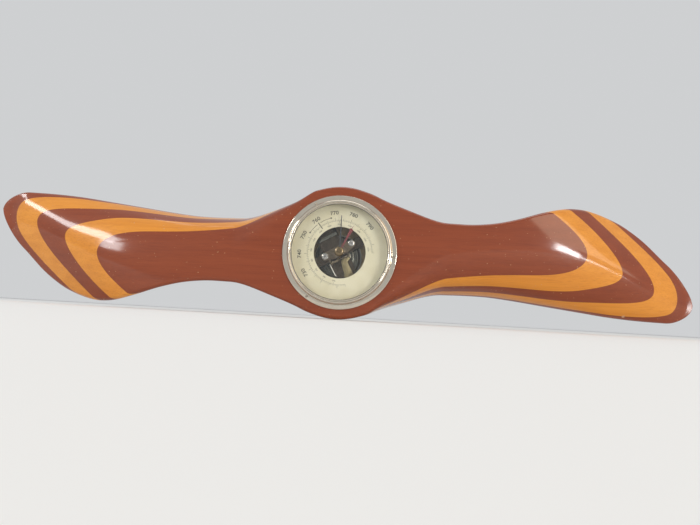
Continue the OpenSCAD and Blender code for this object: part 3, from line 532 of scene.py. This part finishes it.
# %% A board from the skin
def board(name, index):
    """The skin between the planes at index and index + 1 board thicknesses from the wall, closed there."""
    shape = bmesh.new()
    shape.from_mesh(skin)
    for level, side in ((-BOARD_T * index, 1), (-BOARD_T * (index + 1), -1)):
        if level in (0, -BODY_T):
            continue
        everything = shape.verts[:] + shape.edges[:] + shape.faces[:]
        cut = bmesh.ops.bisect_plane(shape, geom=everything, dist=1e-7, plane_co=(0, level * MM, 0),
                                     plane_no=(0, side, 0), clear_outer=True)
        rim = [part for part in cut["geom_cut"] if isinstance(part, bmesh.types.BMEdge)]
        lid = bmesh.ops.triangle_fill(shape, use_beauty=True, use_dissolve=False, edges=rim,
                                      normal=(0, side, 0))
        for part in lid["geom"]:
            if isinstance(part, bmesh.types.BMFace):
                part.smooth = False
    bmesh.ops.recalc_face_normals(shape, faces=shape.faces)
    mesh = bpy.data.meshes.new(name)
    shape.to_mesh(mesh)
    shape.free()
    return mesh


# %% Holes and polish
def take_out(mesh, *tools):
    """Takes the volumes of the tool meshes out of a mesh, with exact booleans."""
    blank = linked(mesh.name, mesh)
    helpers = []
    for tool in tools:
        helper = linked("tool", tool)
        cut = blank.modifiers.new("cut", "BOOLEAN")
        cut.object, cut.operation, cut.solver = helper, "DIFFERENCE", "EXACT"
        helpers.append(helper)
    bpy.context.view_layer.update()
    result = bpy.data.meshes.new_from_object(blank.evaluated_get(bpy.context.evaluated_depsgraph_get()))
    for helper in [blank, *helpers]:
        bpy.data.objects.remove(helper)
    result.name = mesh.name + "_cut"
    result.set_sharp_from_angle(angle=math.radians(40))
    return result


def keep_polish(mesh):
    """Lets each corner on the skin face as before the cuts; corners on cut faces face as their face does."""
    before, now = np.empty((2, len(mesh.loops) * 3))
    mesh.attributes["skin_normal"].data.foreach_get("vector", before)
    mesh.corner_normals.foreach_get("vector", now)
    before, now = before.reshape(-1, 3), now.reshape(-1, 3)
    length = np.linalg.norm(before, axis=1, keepdims=True)
    on_skin = (before * now).sum(1, keepdims=True) > 0.5 * np.maximum(length, 0.5)
    mesh.normals_split_custom_set(np.where(on_skin, before / np.maximum(length, 0.5), now))
    mesh.attributes.remove(mesh.attributes["skin_normal"])
    return int(on_skin.sum())


# %% [markdown]
# The movement sits turned in its case, so its parts are placed in a frame of their own. The four tools are
# plain plates: the bore, the screwdriver's way in, the hanger's recess, and a deeper pocket for the nail.

# %% Tools that cut the boards
BORE_R, BORE_FLOOR = 45.0, -10.0
ACCESS_R, ADJUSTER_AT = 4.0, (-3, 31)
HANGER_HALF, HANGER_LOW, HANGER_HIGH, HANGER_LEVEL = 20.0, 28.9, 45.3, -2.7
POCKET_HALF, POCKET_LOW, POCKET_HIGH, POCKET_R, POCKET_LEVEL = 5.5, 30.5, 46.0, 4.4, -6.7
MOVEMENT_TURN = math.radians(30)


def in_movement(across, upwards):
    """Place in X and Z of a point given in the movement's own frame, which is turned in its case."""
    return (across * math.cos(MOVEMENT_TURN) - upwards * math.sin(MOVEMENT_TURN),
            across * math.sin(MOVEMENT_TURN) + upwards * math.cos(MOVEMENT_TURN))


def box_outline(x0, x1, z0, z1, r=0.0):
    """Rectangle in X and Z, with corners rounded to r."""
    if not r:
        return np.array([(x0, z0), (x1, z0), (x1, z1), (x0, z1)])
    return np.concatenate([arc((x0 + r, z0 + r), r, 180, 270), arc((x1 - r, z0 + r), r, 270, 360),
                           arc((x1 - r, z1 - r), r, 0, 90), arc((x0 + r, z1 - r), r, 90, 180)])


def bore():
    """Round hole for the case, from the front."""
    return prism("bore", circle(BORE_R, count=192), -BODY_T - 1, BORE_FLOOR)


def access():
    """Hole through which a screwdriver reaches the adjusting screw."""
    return prism("access", circle(ACCESS_R, in_movement(*ADJUSTER_AT), 64), -BODY_T, 1)


def recess():
    """Shallow recess that the hanger's plate fills."""
    return prism("recess", box_outline(-HANGER_HALF, HANGER_HALF, HANGER_LOW, HANGER_HIGH), HANGER_LEVEL, 1)


def pocket():
    """Room behind the keyhole for the nail's head."""
    return prism("pocket", box_outline(-POCKET_HALF, POCKET_HALF, POCKET_LOW, POCKET_HIGH, POCKET_R),
                 POCKET_LEVEL, 1)


# %% The five boards, from the wall outwards
BOARDS = [("rear_board", brown_wood, "brown_wood", (access, recess, pocket)),
          ("light_board_rear", orange_wood, "light_wood", (bore, access)),
          ("middle_board", brown_wood, "brown_wood", (bore,)),
          ("light_board_front", orange_wood, "light_wood", (bore,)),
          ("front_board", brown_wood, "brown_wood", (bore,))]
for index, (node, material, slot, cuts) in enumerate(BOARDS):
    mesh = take_out(board("carved_" + node, index), *[cut() for cut in cuts])
    on_skin = keep_polish(mesh)
    piece(mesh, "root", material, slot, node)
    print(mesh.name, len(mesh.polygons), "faces,", on_skin, "of", len(mesh.loops), "corners on the skin")
bpy.data.meshes.remove(skin)

# %% [markdown]
# ## The bezel
# The bezel is one turned ring: a thin flange on the wood, a tall rolled bead, and a lip over the glass.
# A profile carried once round the axis gives it. Three round-headed pins hold the flange to the wood.

# %% Bezel
FLANGE_Y, CREST_Y, GLASS_Y, GLASS_BACK_Y, SKIRT_Y = -41.2, -45.5, -44.3, -42.3, -36.5
SIGHT_R, BEZEL_R, SKIRT_OUT, SKIRT_IN = 42.0, 50.0, 43.95, 43.35
BEAD_R, BEAD_W = 43.9, 2.1


def bezel_profile():
    """Profile of flange, bead, lip and skirt, as radius and level; the bead is a quarter of an ellipse."""
    rim = arc((BEZEL_R - 0.5, FLANGE_Y + 0.5), 0.5, 0, -90, 8)
    angle = np.radians(np.linspace(0, 90, 24))
    bead = np.stack([BEAD_R + BEAD_W * np.cos(angle), FLANGE_Y - 4.3 * np.sin(angle)], -1)
    inner = np.radians(np.linspace(8, 90, 12))
    fall = np.stack([BEAD_R - 0.7 * np.sin(inner), CREST_Y + 0.9 - 0.9 * np.cos(inner)], -1)
    lip = [(43.0, CREST_Y + 0.95), (42.8, CREST_Y + 0.8), (42.4, CREST_Y + 0.75), (42.1, CREST_Y + 0.85),
           (SIGHT_R, CREST_Y + 1.0), (SIGHT_R, GLASS_Y)]
    foot = [(SKIRT_IN, GLASS_Y), (SKIRT_IN, SKIRT_Y), (SKIRT_OUT, SKIRT_Y), (SKIRT_OUT, -BODY_T),
            (BEZEL_R, -BODY_T)]
    return np.concatenate([rim, bead, fall, lip, foot])


bezel = turned("rolled_bezel", bezel_profile(), turns=256)
piece(bezel, "root", chrome, "bezel_chrome", "bezel_ring")
print("the bezel's faces:", len(bezel.polygons))

# %% Pins
PIN_CIRCLE, PIN_ANGLES = 47.75, (-2.5, 119.2, 236.8)


def pin(degrees, radius=1.1, height=1.09):
    """Pin: its head is a quarter of an ellipse turned about the axis, and a shank goes into the wood."""
    angle = np.radians(np.linspace(90, 0, 12))
    head = np.stack([radius * np.cos(angle), FLANGE_Y - height * np.sin(angle)], -1)
    head[0, 0] = 0
    shank = [(0.6, FLANGE_Y), (0.6, -33.6), (0, -33.2)]
    at = swung((0, 0, PIN_CIRCLE), 90 - degrees)
    return turned("pin", np.concatenate([head, shank]), at[[0, 2]], 32)


def joined(name, meshes):
    """One mesh out of several."""
    shape = bmesh.new()
    for mesh in meshes:
        shape.from_mesh(mesh)
        bpy.data.meshes.remove(mesh)
    mesh = bpy.data.meshes.new(name)
    shape.to_mesh(mesh)
    shape.free()
    return mesh


pins = joined("round_pins", [pin(degrees) for degrees in PIN_ANGLES])
piece(pins, "root", pin_nickel, "bezel_chrome", "bezel_pins")
print("pins:", len(PIN_ANGLES))

# %% [markdown]
# ## The dial
# The dial is a ring of cream card, printed in black. Its print is real geometry, a few hundredths of a
# millimetre thick: bars for the scales, arcs, and numbers made from Blender's own font. The pressure
# scales are plain and generic, in millimetres of mercury outside and hectopascals inside.

# %% The dial's card
DIAL_Y, DIAL_BACK_Y, DIAL_R, OPENING_R, CUT_EDGE = -35.5, -34.9, 43.6, 22.8, 0.12
card = [(OPENING_R, DIAL_BACK_Y), (OPENING_R, DIAL_Y + CUT_EDGE), (OPENING_R + CUT_EDGE, DIAL_Y),
        (DIAL_R, DIAL_Y), (DIAL_R, DIAL_BACK_Y)]
piece(turned("printed_dial", card, turns=256), "root", dial_card, "dial_card", "dial_plate")
print("the card's ring:", round(DIAL_R - OPENING_R, 1), "mm wide")

# %% Marks of the scales
INK_T = 0.03
PRINT_Y = DIAL_Y - INK_T
MIDDLE_ANGLE, MM_STEP = 128.8, 2.8
HPA_PER_MM = 1.33322
HPA_STEP = MM_STEP / HPA_PER_MM


def bars(name, degrees, r0, r1, half_width):
    """Printed bars: one thin box for each angle, between two radii, all worked out at once."""
    a = np.radians(np.atleast_1d(degrees))[:, None]
    r = np.array([r0, r1, r1, r0] * 2)
    w = half_width * np.array([-1, -1, 1, 1] * 2)
    y = np.broadcast_to([PRINT_Y] * 4 + [DIAL_Y] * 4, (len(a), 8))
    points = np.stack([r * np.cos(a) + w * np.sin(a), y, r * np.sin(a) - w * np.cos(a)], -1)
    box = np.array([(0, 1, 2, 3), (7, 6, 5, 4), (0, 4, 5, 1), (1, 5, 6, 2), (2, 6, 7, 3), (3, 7, 4, 0)])
    faces = (box + 8 * np.arange(len(a))[:, None, None]).reshape(-1, 4)
    mesh = bpy.data.meshes.new(name)
    mesh.from_pydata(points.reshape(-1, 3) * MM, [], faces)
    return tidy(mesh)


def line(name, radius, start, end, half_width):
    """Printed arc: a thin band between two angles in degrees."""
    outer = arc((0, 0), radius + half_width, start, end, 97)
    inner = arc((0, 0), radius - half_width, end, start, 97)
    return prism(name, np.concatenate([outer, inner]), PRINT_Y, DIAL_Y)


# %% Scales and arcs
mercury = np.arange(705, 806)
hpa = np.arange(950, 1073, 2)
mercury_angle = MIDDLE_ANGLE - MM_STEP * (mercury - 760)
hpa_angle = MIDDLE_ANGLE - HPA_STEP * (hpa - 1013.25)
tens, fives = mercury % 10 == 0, mercury % 10 == 5
scales = [bars("ten", mercury_angle[tens], 28.4, 31.2, 0.16),
          bars("five", mercury_angle[fives], 28.4, 30.4, 0.12),
          bars("one", mercury_angle[~tens & ~fives], 28.4, 29.6, 0.09),
          bars("ten_hpa", hpa_angle[hpa % 10 == 0], 26.7, 28.2, 0.13),
          bars("two_hpa", hpa_angle[hpa % 10 != 0], 27.4, 28.2, 0.08),
          line("ring", 28.3, mercury_angle[-1], mercury_angle[0], 0.09)]
piece(joined("printed_scales", scales), "root", pale_ink, "black_paint")

ARC_R, ARC_GAP, DOT_R = 31.6, 3, 0.75
change = [bars("mark", MIDDLE_ANGLE, 25.9, 32.7, 0.38),
          line("left", ARC_R, MIDDLE_ANGLE + ARC_GAP, 147, 0.2),
          line("right", ARC_R, 108.5, MIDDLE_ANGLE - ARC_GAP, 0.2)]
for degrees in (148.7, 107.1):
    at = swung((0, 0, ARC_R), 90 - degrees)[[0, 2]]
    change.append(prism("dot", circle(DOT_R, at, 24), PRINT_Y, DIAL_Y))
piece(joined("printed_arcs", change), "root", ink, "black_paint")
print("marks on the dial:", len(mercury) + len(hpa))


# %% [markdown]
# The numbers are Blender's own text, made a mesh at once and then bent into place: each stands on a circle
# with its top outwards, as on such dials. Printed type swells in the card, so its strokes are thickened.

# %% Numbers on the dial
def numbers(name, words, degrees, radius, size, weight, stretch=1.0):
    """Numbers round the dial, tops outwards; weight thickens the strokes and stretch widens them."""
    made = []
    for word, a in zip(words, degrees):
        text = bpy.data.curves.new("number", "FONT")
        text.body, text.size, text.extrude, text.offset = str(word), size, INK_T / 2, weight
        text.align_x, text.align_y = "CENTER", "CENTER"
        text.resolution_u = 3
        helper = bpy.data.objects.new("number", text)
        mesh = bpy.data.meshes.new_from_object(helper)
        flat = np.empty(len(mesh.vertices) * 3)
        mesh.vertices.foreach_get("co", flat)
        across, out, depth = flat.reshape(-1, 3).T
        placed = np.stack([across * stretch, DIAL_Y - INK_T / 2 - depth, out + radius], -1)
        mesh.vertices.foreach_set("co", swung(placed, 90 - a).ravel() * MM)
        bpy.data.objects.remove(helper)
        bpy.data.curves.remove(text)
        made.append(mesh)
    return tidy(joined(name, made))


large = np.arange(730, 791, 10)
large_angle = MIDDLE_ANGLE - MM_STEP * (large - 760)
round_hpa = hpa % 10 == 0
piece(numbers("large_numbers", large, large_angle, 35.4, 4.6, 0.07, 1.12), "root", ink, "black_paint")
piece(numbers("small_numbers", hpa[round_hpa], hpa_angle[round_hpa], 25.1, 1.75, 0.03), "root", pale_ink,
      "black_paint")
print("numbers on the dial:", len(large) + int(round_hpa.sum()))

# %% [markdown]
# ## Glass, hands and knob
# The pane is a flat disc with a hole for the set hand's stem. It throws no shadow, so light from the lamps
# reaches the dial straight. Where it meets the bezel's lip, a thin dark ring all round is painted shade: it
# darkens the corner between the lip and the glass.

# %% Glass
pane = [(1.25, GLASS_Y + 0.1), (1.35, GLASS_Y), (43.15, GLASS_Y), (43.25, GLASS_Y + 0.1),
        (43.25, GLASS_BACK_Y), (1.25, GLASS_BACK_Y)]
glass = piece(turned("pane", pane, turns=192), "root", clear_glass, "clear_glass", "glass")
glass.visible_shadow = False
glass.visible_diffuse = False
# The ring of black paint on the glass at the lip is painted shade, for the corner between lip and glass.
LIP_SHADE_W = 0.35
lip_shade = [(SIGHT_R - LIP_SHADE_W, GLASS_Y - 0.02), (SIGHT_R, GLASS_Y - 0.08), (SIGHT_R, GLASS_Y),
        (SIGHT_R - LIP_SHADE_W, GLASS_Y)]
piece(turned("painted_lip_shade", lip_shade, turns=192), "root", black_paint, "black_paint")


# %% [markdown]
# The hands are pressed from thin sheet, which leaves a low ridge along their middle. So each is a grid of
# five points across and a few along, its outline mirrored. The black one is a needle, the red a spear.

# %% Hands
def hand(name, edge, y0, y1, crown, degrees=0):
    """Hand: half outline (length, half width) mirrored about its axis, with a crown along the middle line."""
    along, width = np.asarray(edge, float).T
    sides = np.array([-1.0, -0.55, 0.0, 0.55, 1.0])[:, None]
    x = sides * width
    z = np.broadcast_to(along, x.shape)
    front = np.stack([x, np.broadcast_to(y0 + crown * np.abs(sides), x.shape), z], -1)
    back = np.stack([x, np.full_like(x, y1), z], -1)[::-1]
    mesh = grid(name, swung(np.concatenate([front, back]), degrees), along=True)
    shape = bmesh.new()
    shape.from_mesh(mesh)
    bmesh.ops.remove_doubles(shape, verts=shape.verts, dist=1e-7)
    bmesh.ops.holes_fill(shape, edges=shape.edges)
    shape.to_mesh(mesh)
    shape.free()
    return tidy(mesh, 20)


HAND_Y, SET_Y = -38.5, -41.6
pointer = hand("pointer", [(-0.5, 0.8), (0, 0.8), (12, 0.66), (24, 0.5), (32.2, 0.36), (33, 0.1)], HAND_Y,
               HAND_Y + 0.4, 0.1)
pointer_hub = turned("hub", [(0.7, HAND_Y + 1), (2.1, HAND_Y + 1), (2.1, HAND_Y - 0.2), (1.9, HAND_Y - 0.4),
                             (0.7, HAND_Y - 0.4)], turns=64)
piece(joined("black_pointer", [pointer, pointer_hub]), "pointer", black_paint, "black_paint",
      "indicator_hand")

spear = hand("spear", [(0, 0.6), (6, 0.66), (14, 0.85), (19.5, 1.2), (22.4, 1.85), (22.9, 0.55), (23.4, 0.26),
                       (25.9, 0.16)], SET_Y, SET_Y + 0.4, 0.12, 25)
spear_hub = turned("hub", [(1.2, SET_Y + 0.4), (2.0, SET_Y + 0.4), (2.0, SET_Y - 0.2), (1.9, SET_Y - 0.3),
                           (1.2, SET_Y - 0.3)], turns=64)
piece(joined("red_set_hand", [spear, spear_hub]), "set_hand_and_knob", red_paint, "red_paint", "set_hand")


# %% [markdown]
# The knob is turned from brass and milled round its rim, so that fingers hold it. Its profile is carried
# round the axis, and each point's radius is cut by a comb of rounded notches, deepest at the rim.

# %% Knob
KNOB_R, NOTCH, KNOB_BACK_Y = 4.0, 0.16, GLASS_Y - 0.4


def milled_knob(radius, notch, back_y, count=24, turns=384):
    """Knob: a turned profile with even round notches: radius less notch times a rounded comb."""
    profile = np.array([(0, 0), (radius - 0.8, 0), (radius - 0.2, 0.35), (radius, 0.9), (radius, 2.4),
                        (radius - 0.15, 2.75), (radius - 0.5, 3.0), (radius - 1.2, 3.35),
                        (radius - 2.2, 3.53), (0, 3.6)])
    profile[:, 1] = back_y - profile[:, 1]
    angle = np.linspace(0, 2 * np.pi, turns, endpoint=False)
    comb = np.clip(np.cos(count * angle) * 1.6 - 0.6, 0, 1)
    depth = notch * np.clip((profile[:, 0] - radius + 1.0) / 0.5, 0, 1)
    r = profile[:, 0][None] - comb[:, None] * depth[None]
    x, z = r * np.cos(angle)[:, None], r * np.sin(angle)[:, None]
    points = np.stack([x, np.broadcast_to(profile[:, 1], x.shape), z], -1)
    return tidy(grid("knob", points, along=True), 35)


STEM_R, STEM_FRONT_Y, STEM_BACK_Y = 1.2, GLASS_Y - 0.39, SET_Y + 0.4
stem = turned("stem", [(0, STEM_FRONT_Y), (STEM_R, STEM_FRONT_Y), (STEM_R, STEM_BACK_Y), (0, STEM_BACK_Y)],
              turns=48)
knob = joined("milled_knob", [milled_knob(KNOB_R, NOTCH, KNOB_BACK_Y), stem])
piece(knob, "set_hand_and_knob", worn_brass, "brass", "set_knob")
print("the knob's faces:", len(knob.polygons))

# %% [markdown]
# ## The movement
# The CAD parts of the movement have the right shapes, but their edges are perfectly sharp. Real edges are
# broken with a file and catch the light. So each visible part is copied, cleaned and given a small bevel.

# %% Parts of the movement with broken edges
def broken_edges(node, body, material, slot, width, edge_material=None):
    """Copy of a CAD part, its flat faces merged; its edges get a bevel of width in mm and their finish."""
    mesh = nodes[node].data.copy()
    mesh.name = "bevelled_" + node
    shape = bmesh.new()
    shape.from_mesh(mesh)
    bmesh.ops.remove_doubles(shape, verts=shape.verts, dist=2e-7)
    bmesh.ops.dissolve_limit(shape, angle_limit=math.radians(1), verts=shape.verts, edges=shape.edges)
    edges = [edge for edge in shape.edges if len(edge.link_faces) == 2
             and edge.calc_face_angle(0) > math.radians(35)]
    for face in shape.faces:
        face.material_index = 0
    bmesh.ops.bevel(shape, geom=edges, offset=width * MM, segments=2, profile=0.5, affect="EDGES",
                    clamp_overlap=True, material=1 if edge_material else -1)
    shape.to_mesh(mesh)
    shape.free()
    obj = piece(tidy(mesh, 25), body, material, slot, node)
    if edge_material:
        mesh.materials.append(edge_material)
    return obj


for node, body, material, slot, width in [
        ("bridge_plate", "root", dark_bronze, "aged_brass", 0.15),
        ("frame_bar", "root", dark_steel, "dark_steel", 0.12),
        ("stud_nut", "spring_arm", old_brass, "aged_brass", 0.15),
        ("main_lever", "spring_arm", pale_gold, "brass", 0.12),
        ("rocker", "rocker_shaft", worn_brass, "aged_brass", 0.08),
        ("rocker_lugs", "root", dark_bronze, "aged_brass", 0.1),
        ("hanger_plate", "root", brass, "brass", 0.12), ("hanger_screws", "root", steel, "steel", 0.08),
        ("adjusting_screw", "adjuster", steel, "steel", 0.12),
        ("bridge_pillars", "root", old_brass, "aged_brass", 0.1),
        ("spring_screws", "root", steel, "steel", 0.08)]:
    made = broken_edges(node, body, material, slot, width)
    print(made.name, len(made.data.polygons))
broken_edges("spring_leaf", "spring_arm", dark_steel, "dark_steel", 0.3, ground_steel_and_highlight)


# %% [markdown]
# The screws that hold the bridge are the brightest things in the opening. Their polished heads are
# crowned and slotted. The grid of such a head runs in chords across it, with two columns at each side of
# the slot: one stays up on the crown, the other lies down in the slot.

# %% Crowned screws with a slot
SHANK_R, SLOT_SHARE = 1.2, 1 / 6.5


def slotted_screw(at, seat_y, head_r, head_h, shank_l, turn):
    """Screw: a head of chords and a shank; its crown is the root of 1 less the radius' squared share."""
    slot = head_r * SLOT_SHARE
    u = np.concatenate([np.linspace(-head_r, -slot, 14), np.linspace(-slot, slot, 4),
                        np.linspace(slot, head_r, 14)])
    in_slot = np.repeat([False, True, False], [14, 4, 14])
    w = np.linspace(-1, 1, 27)[:, None] * np.sqrt(np.maximum(head_r ** 2 - u ** 2, 0))
    across = np.broadcast_to(u, w.shape)
    crown = 0.3 + 0.7 * np.sqrt(np.maximum(1 - (across ** 2 + w ** 2) / head_r ** 2, 0))
    top = np.stack([across, seat_y - head_h * np.where(in_slot, 0.45, crown), w], -1)
    under = np.stack([across, np.full_like(w, seat_y), w], -1)[::-1]
    head = tidy(grid("head", swung(np.concatenate([top, under]), turn, at), along=True), 35)
    shank = [(0, seat_y - 0.1), (SHANK_R, seat_y - 0.1), (SHANK_R, seat_y + shank_l), (0, seat_y + shank_l)]
    return [head, turned("shank", shank, at, 32)]


BRIDGE_SCREW, BRIDGE_Y = (13, 3.2), -32.3
BAR_SCREW, BAR_Y = (27, 1.9), -26.6
for name, node, (aside, above), seat_y, head_r, shank_l, lean in [
        ("bridge_crown_screws", "bridge_screws", BRIDGE_SCREW, BRIDGE_Y, 2.9, 6.8, -15),
        ("bar_crown_screws", "frame_screws", BAR_SCREW, BAR_Y, 2.3, 6.2, 40)]:
    meshes = [mesh for side in (-1, 1) for mesh in
              slotted_screw(in_movement(aside * side, above), seat_y, head_r, 1.1, shank_l, 10 + lean * side)]
    piece(joined(name, meshes), "root", steel, "steel", node)
    print(name, "with heads", 2 * head_r, "mm across")

# %% [markdown]
# Two thin strips make the spring read as in the photograph: its left edge is ground bright, and the flat
# bright strip laid along it is partly a painted highlight of that edge; a clamp strip lies across the spring
# near the rim of the opening. Dark plates in the screws' slots are painted shade, so that the slots show.

# %% Edge strip with a painted highlight, clamp strip and painted shade in the slots
LEAF_Y, EDGE_LIFT = -22.5, 0.06


def flat_strip(name, corners, y0, y1):
    """Plate between two levels, its corners given in the movement's own frame."""
    return prism(name, [in_movement(*corner) for corner in corners], y0, y1)


edge = [(-12.8, -4), (-12.8, -15), (-12.15, -16.3), (-11.75, -16.0), (-12.15, -14.9), (-12.15, -4)]
clamp = [(-12.6, 17.4), (5.6, 17.4), (5.6, 20), (-12.6, 20)]
# The edge strip is bright steel laid flat on the leaf: partly its real ground edge, partly a painted
# highlight.
piece(flat_strip("ground_edge_highlight", edge, LEAF_Y - EDGE_LIFT, LEAF_Y), "spring_arm", ground_steel_and_highlight, "steel")
piece(flat_strip("clamp_strip", clamp, LEAF_Y - 0.5, LEAF_Y - EDGE_LIFT), "spring_arm", capsule_metal,
      "dark_steel")
# Thin black plates on the floors of the slots are painted shade in the slots.
slot_floor = np.array([(-2.8, 0, -0.4), (2.8, 0, -0.4), (2.8, 0, 0.4), (-2.8, 0, 0.4)])
dirt = []
for side in (-1, 1):
    outline = swung(slot_floor, 10 - 15 * side, in_movement(BRIDGE_SCREW[0] * side, BRIDGE_SCREW[1]))
    dirt.append(prism("dirt", outline[:, [0, 2]], BRIDGE_Y - 0.52, BRIDGE_Y - 0.45))
piece(joined("painted_slot_shade", dirt), "root", black_paint, "steel")
print("slots with dirt:", len(dirt))

# %% [markdown]
# The capsule is the part that feels the air's pressure: two thin shells, pressed with round corrugations
# so that they can breathe. It is turned again with finer ripples, because they glint through the opening.

# %% The capsule's corrugated shells
CAPSULE_AT, CAPSULE_Y, BOSS_R, SHELL_R, RIM_R, SHELL_T = (-3, -2), -18.0, 3.0, 20.0, 21.0, 0.35
RIPPLES, RIPPLE_HALF = 6, 0.17


def shell_rise(r):
    """Height of the shell: a quick rise from the rim, plus cosine ripples from rim to boss."""
    inward = (SHELL_R - r) / (SHELL_R - BOSS_R)
    return 1.6 * ease(6 * inward) + RIPPLE_HALF * (1 - np.cos(2 * np.pi * RIPPLES * inward))


def shell(name, side):
    """One shell of the capsule, turned about the capsule's axis; side is 1 for the upper one."""
    r = np.linspace(BOSS_R, SHELL_R, 120)
    outer = np.stack([r, shell_rise(r) + SHELL_T], -1)
    inner = np.stack([r, shell_rise(r)], -1)[::-1]
    floor = shell_rise(BOSS_R)
    boss = floor + 0.5 + SHELL_T
    profile = np.concatenate([[(0, boss), (BOSS_R - 0.1, boss)], outer, [(RIM_R, SHELL_T), (RIM_R, 0)], inner,
                              [(0, floor)]])
    profile[:, 1] = CAPSULE_Y - side * profile[:, 1]
    return turned(name, profile, in_movement(*CAPSULE_AT), 160)


piece(shell("upper_shell", 1), "root", capsule_metal, "capsule_metal", "capsule_upper_shell")
piece(shell("lower_shell", -1), "root", capsule_metal, "capsule_metal", "capsule_lower_shell")
print("ripples of each shell:", RIPPLES)

# %% [markdown]
# ## Finishes of the CAD parts that stay
# The rest of the movement, deep in the case, keeps its CAD shape and gets its finish.

# %% Finish the remaining nodes
FINISHES = {"brass": brass, "aged_brass": old_brass, "steel": steel, "dark_steel": dark_steel,
            "blued_steel": blued_steel, "capsule_metal": capsule_metal, "case_metal": case_metal}
slots = {part["node"]: part["material_slot"] for part in frame["record"]["subparts"]}
for name, obj in nodes.items():
    if not obj.hide_render:
        obj.data.materials.clear()
        obj.data.materials.append(FINISHES[slots[name]])
print("CAD nodes left showing:", sorted(name for name, obj in nodes.items() if not obj.hide_render))

# %% [markdown]
# ## Stage and light
# A pale floor lies just under the hub, as under a piece on a table for its picture. The world lights
# softly from all around, and is a little paler where the camera, mirrors and glass see it.

# %% Floor
FLOOR_Z = -58.8
floor_mesh = bpy.data.meshes.new("floor")
floor_mesh.from_pydata(np.array([(-4, -4, 0), (4, -4, 0), (4, 4, 0), (-4, 4, 0)]) + (0, 0, FLOOR_Z * MM), [],
                       [(0, 1, 2, 3)])
floor = linked("floor", floor_mesh)
floor_paint = finish("floor_paint", Base_Color=(0.84, 0.84, 0.83, 1.0), Roughness=0.7)
floor_mesh.materials.append(floor_paint)

# %% World
world = bpy.data.worlds.new("studio")
bpy.context.scene.world = world
world.use_nodes = True
world.node_tree.nodes.clear()
light = add(world, "Background", [("Color", (0.95, 0.97, 1.0, 1.0)), ("Strength", 0.45)])
seen = add(world, "Background", [("Color", (0.62, 0.63, 0.64, 1.0)), ("Strength", 1.0)])
ray = add(world, "LightPath").outputs
direct = add(world, "Math", [(0, ray["Is Camera Ray"]), (1, ray["Is Transmission Ray"])], operation="MAXIMUM")
visible = add(world, "Math", [(0, direct.outputs[0]), (1, ray["Is Glossy Ray"])], operation="MAXIMUM")
mixed = add(world, "MixShader", [("Fac", visible.outputs[0]), (1, light.outputs[0]), (2, seen.outputs[0])])
add(world, "OutputWorld", [("Surface", mixed.outputs[0])])
print("nodes in the world:", len(world.node_tree.nodes))


# %% [markdown]
# Soft lamps model the blades, like the panes of a room's windows: their reflections run along the ridges
# of both blades and round the rings of the capsule. Most hang where the lacquer mirrors them.

# %% Lamps
def lamp(name, place, target, size, watts, lean=0, colour=(1.0, 1.0, 1.0)):
    """Soft rectangular lamp, in metres, that points from its place to a target; lean lowers its right end."""
    data = bpy.data.lights.new(name, "AREA")
    data.shape, data.size, data.size_y = "RECTANGLE", size[0], size[1]
    data.energy, data.color = watts, colour
    away = np.asarray(place, float) - np.asarray(target, float)
    away /= np.linalg.norm(away)
    level = np.cross((0, 0, 1), away)
    level /= np.linalg.norm(level)
    tilt = math.radians(lean)
    side = level * math.cos(tilt) - np.cross(away, level) * math.sin(tilt)
    aim(linked(name, data), side, np.cross(away, side), away, place)


lamp("window", (-1.53, -1.07, 1.0), (-0.25, 0, 0), (1.04, 0.3), 12.3, 27)
lamp("window corner", (-1.382, -1.475, 0.586), (-0.25, 0, 0), (0.4, 0.36), 5)
lamp("low window", (1.120, -1.484, 0.122), (0.2, 0, 0), (0.38, 0.2), 7.5, 21)
lamp("low window end", (1.371, -1.300, -0.018), (0.2, 0, 0), (0.27, 0.05), 1, 15)
lamp("soft window", (1.314, -1.304, 0.818), (0.2, 0, 0), (1.05, 1.15), 11, 0, (1.0, 0.86, 0.66))
lamp("above", (0.1, 0.2, 1.8), (0, 0, 0), (1.6, 0.8), 8)
bpy.context.scene.view_settings.view_transform = "Standard"
print("lamps:", len(bpy.data.lights))
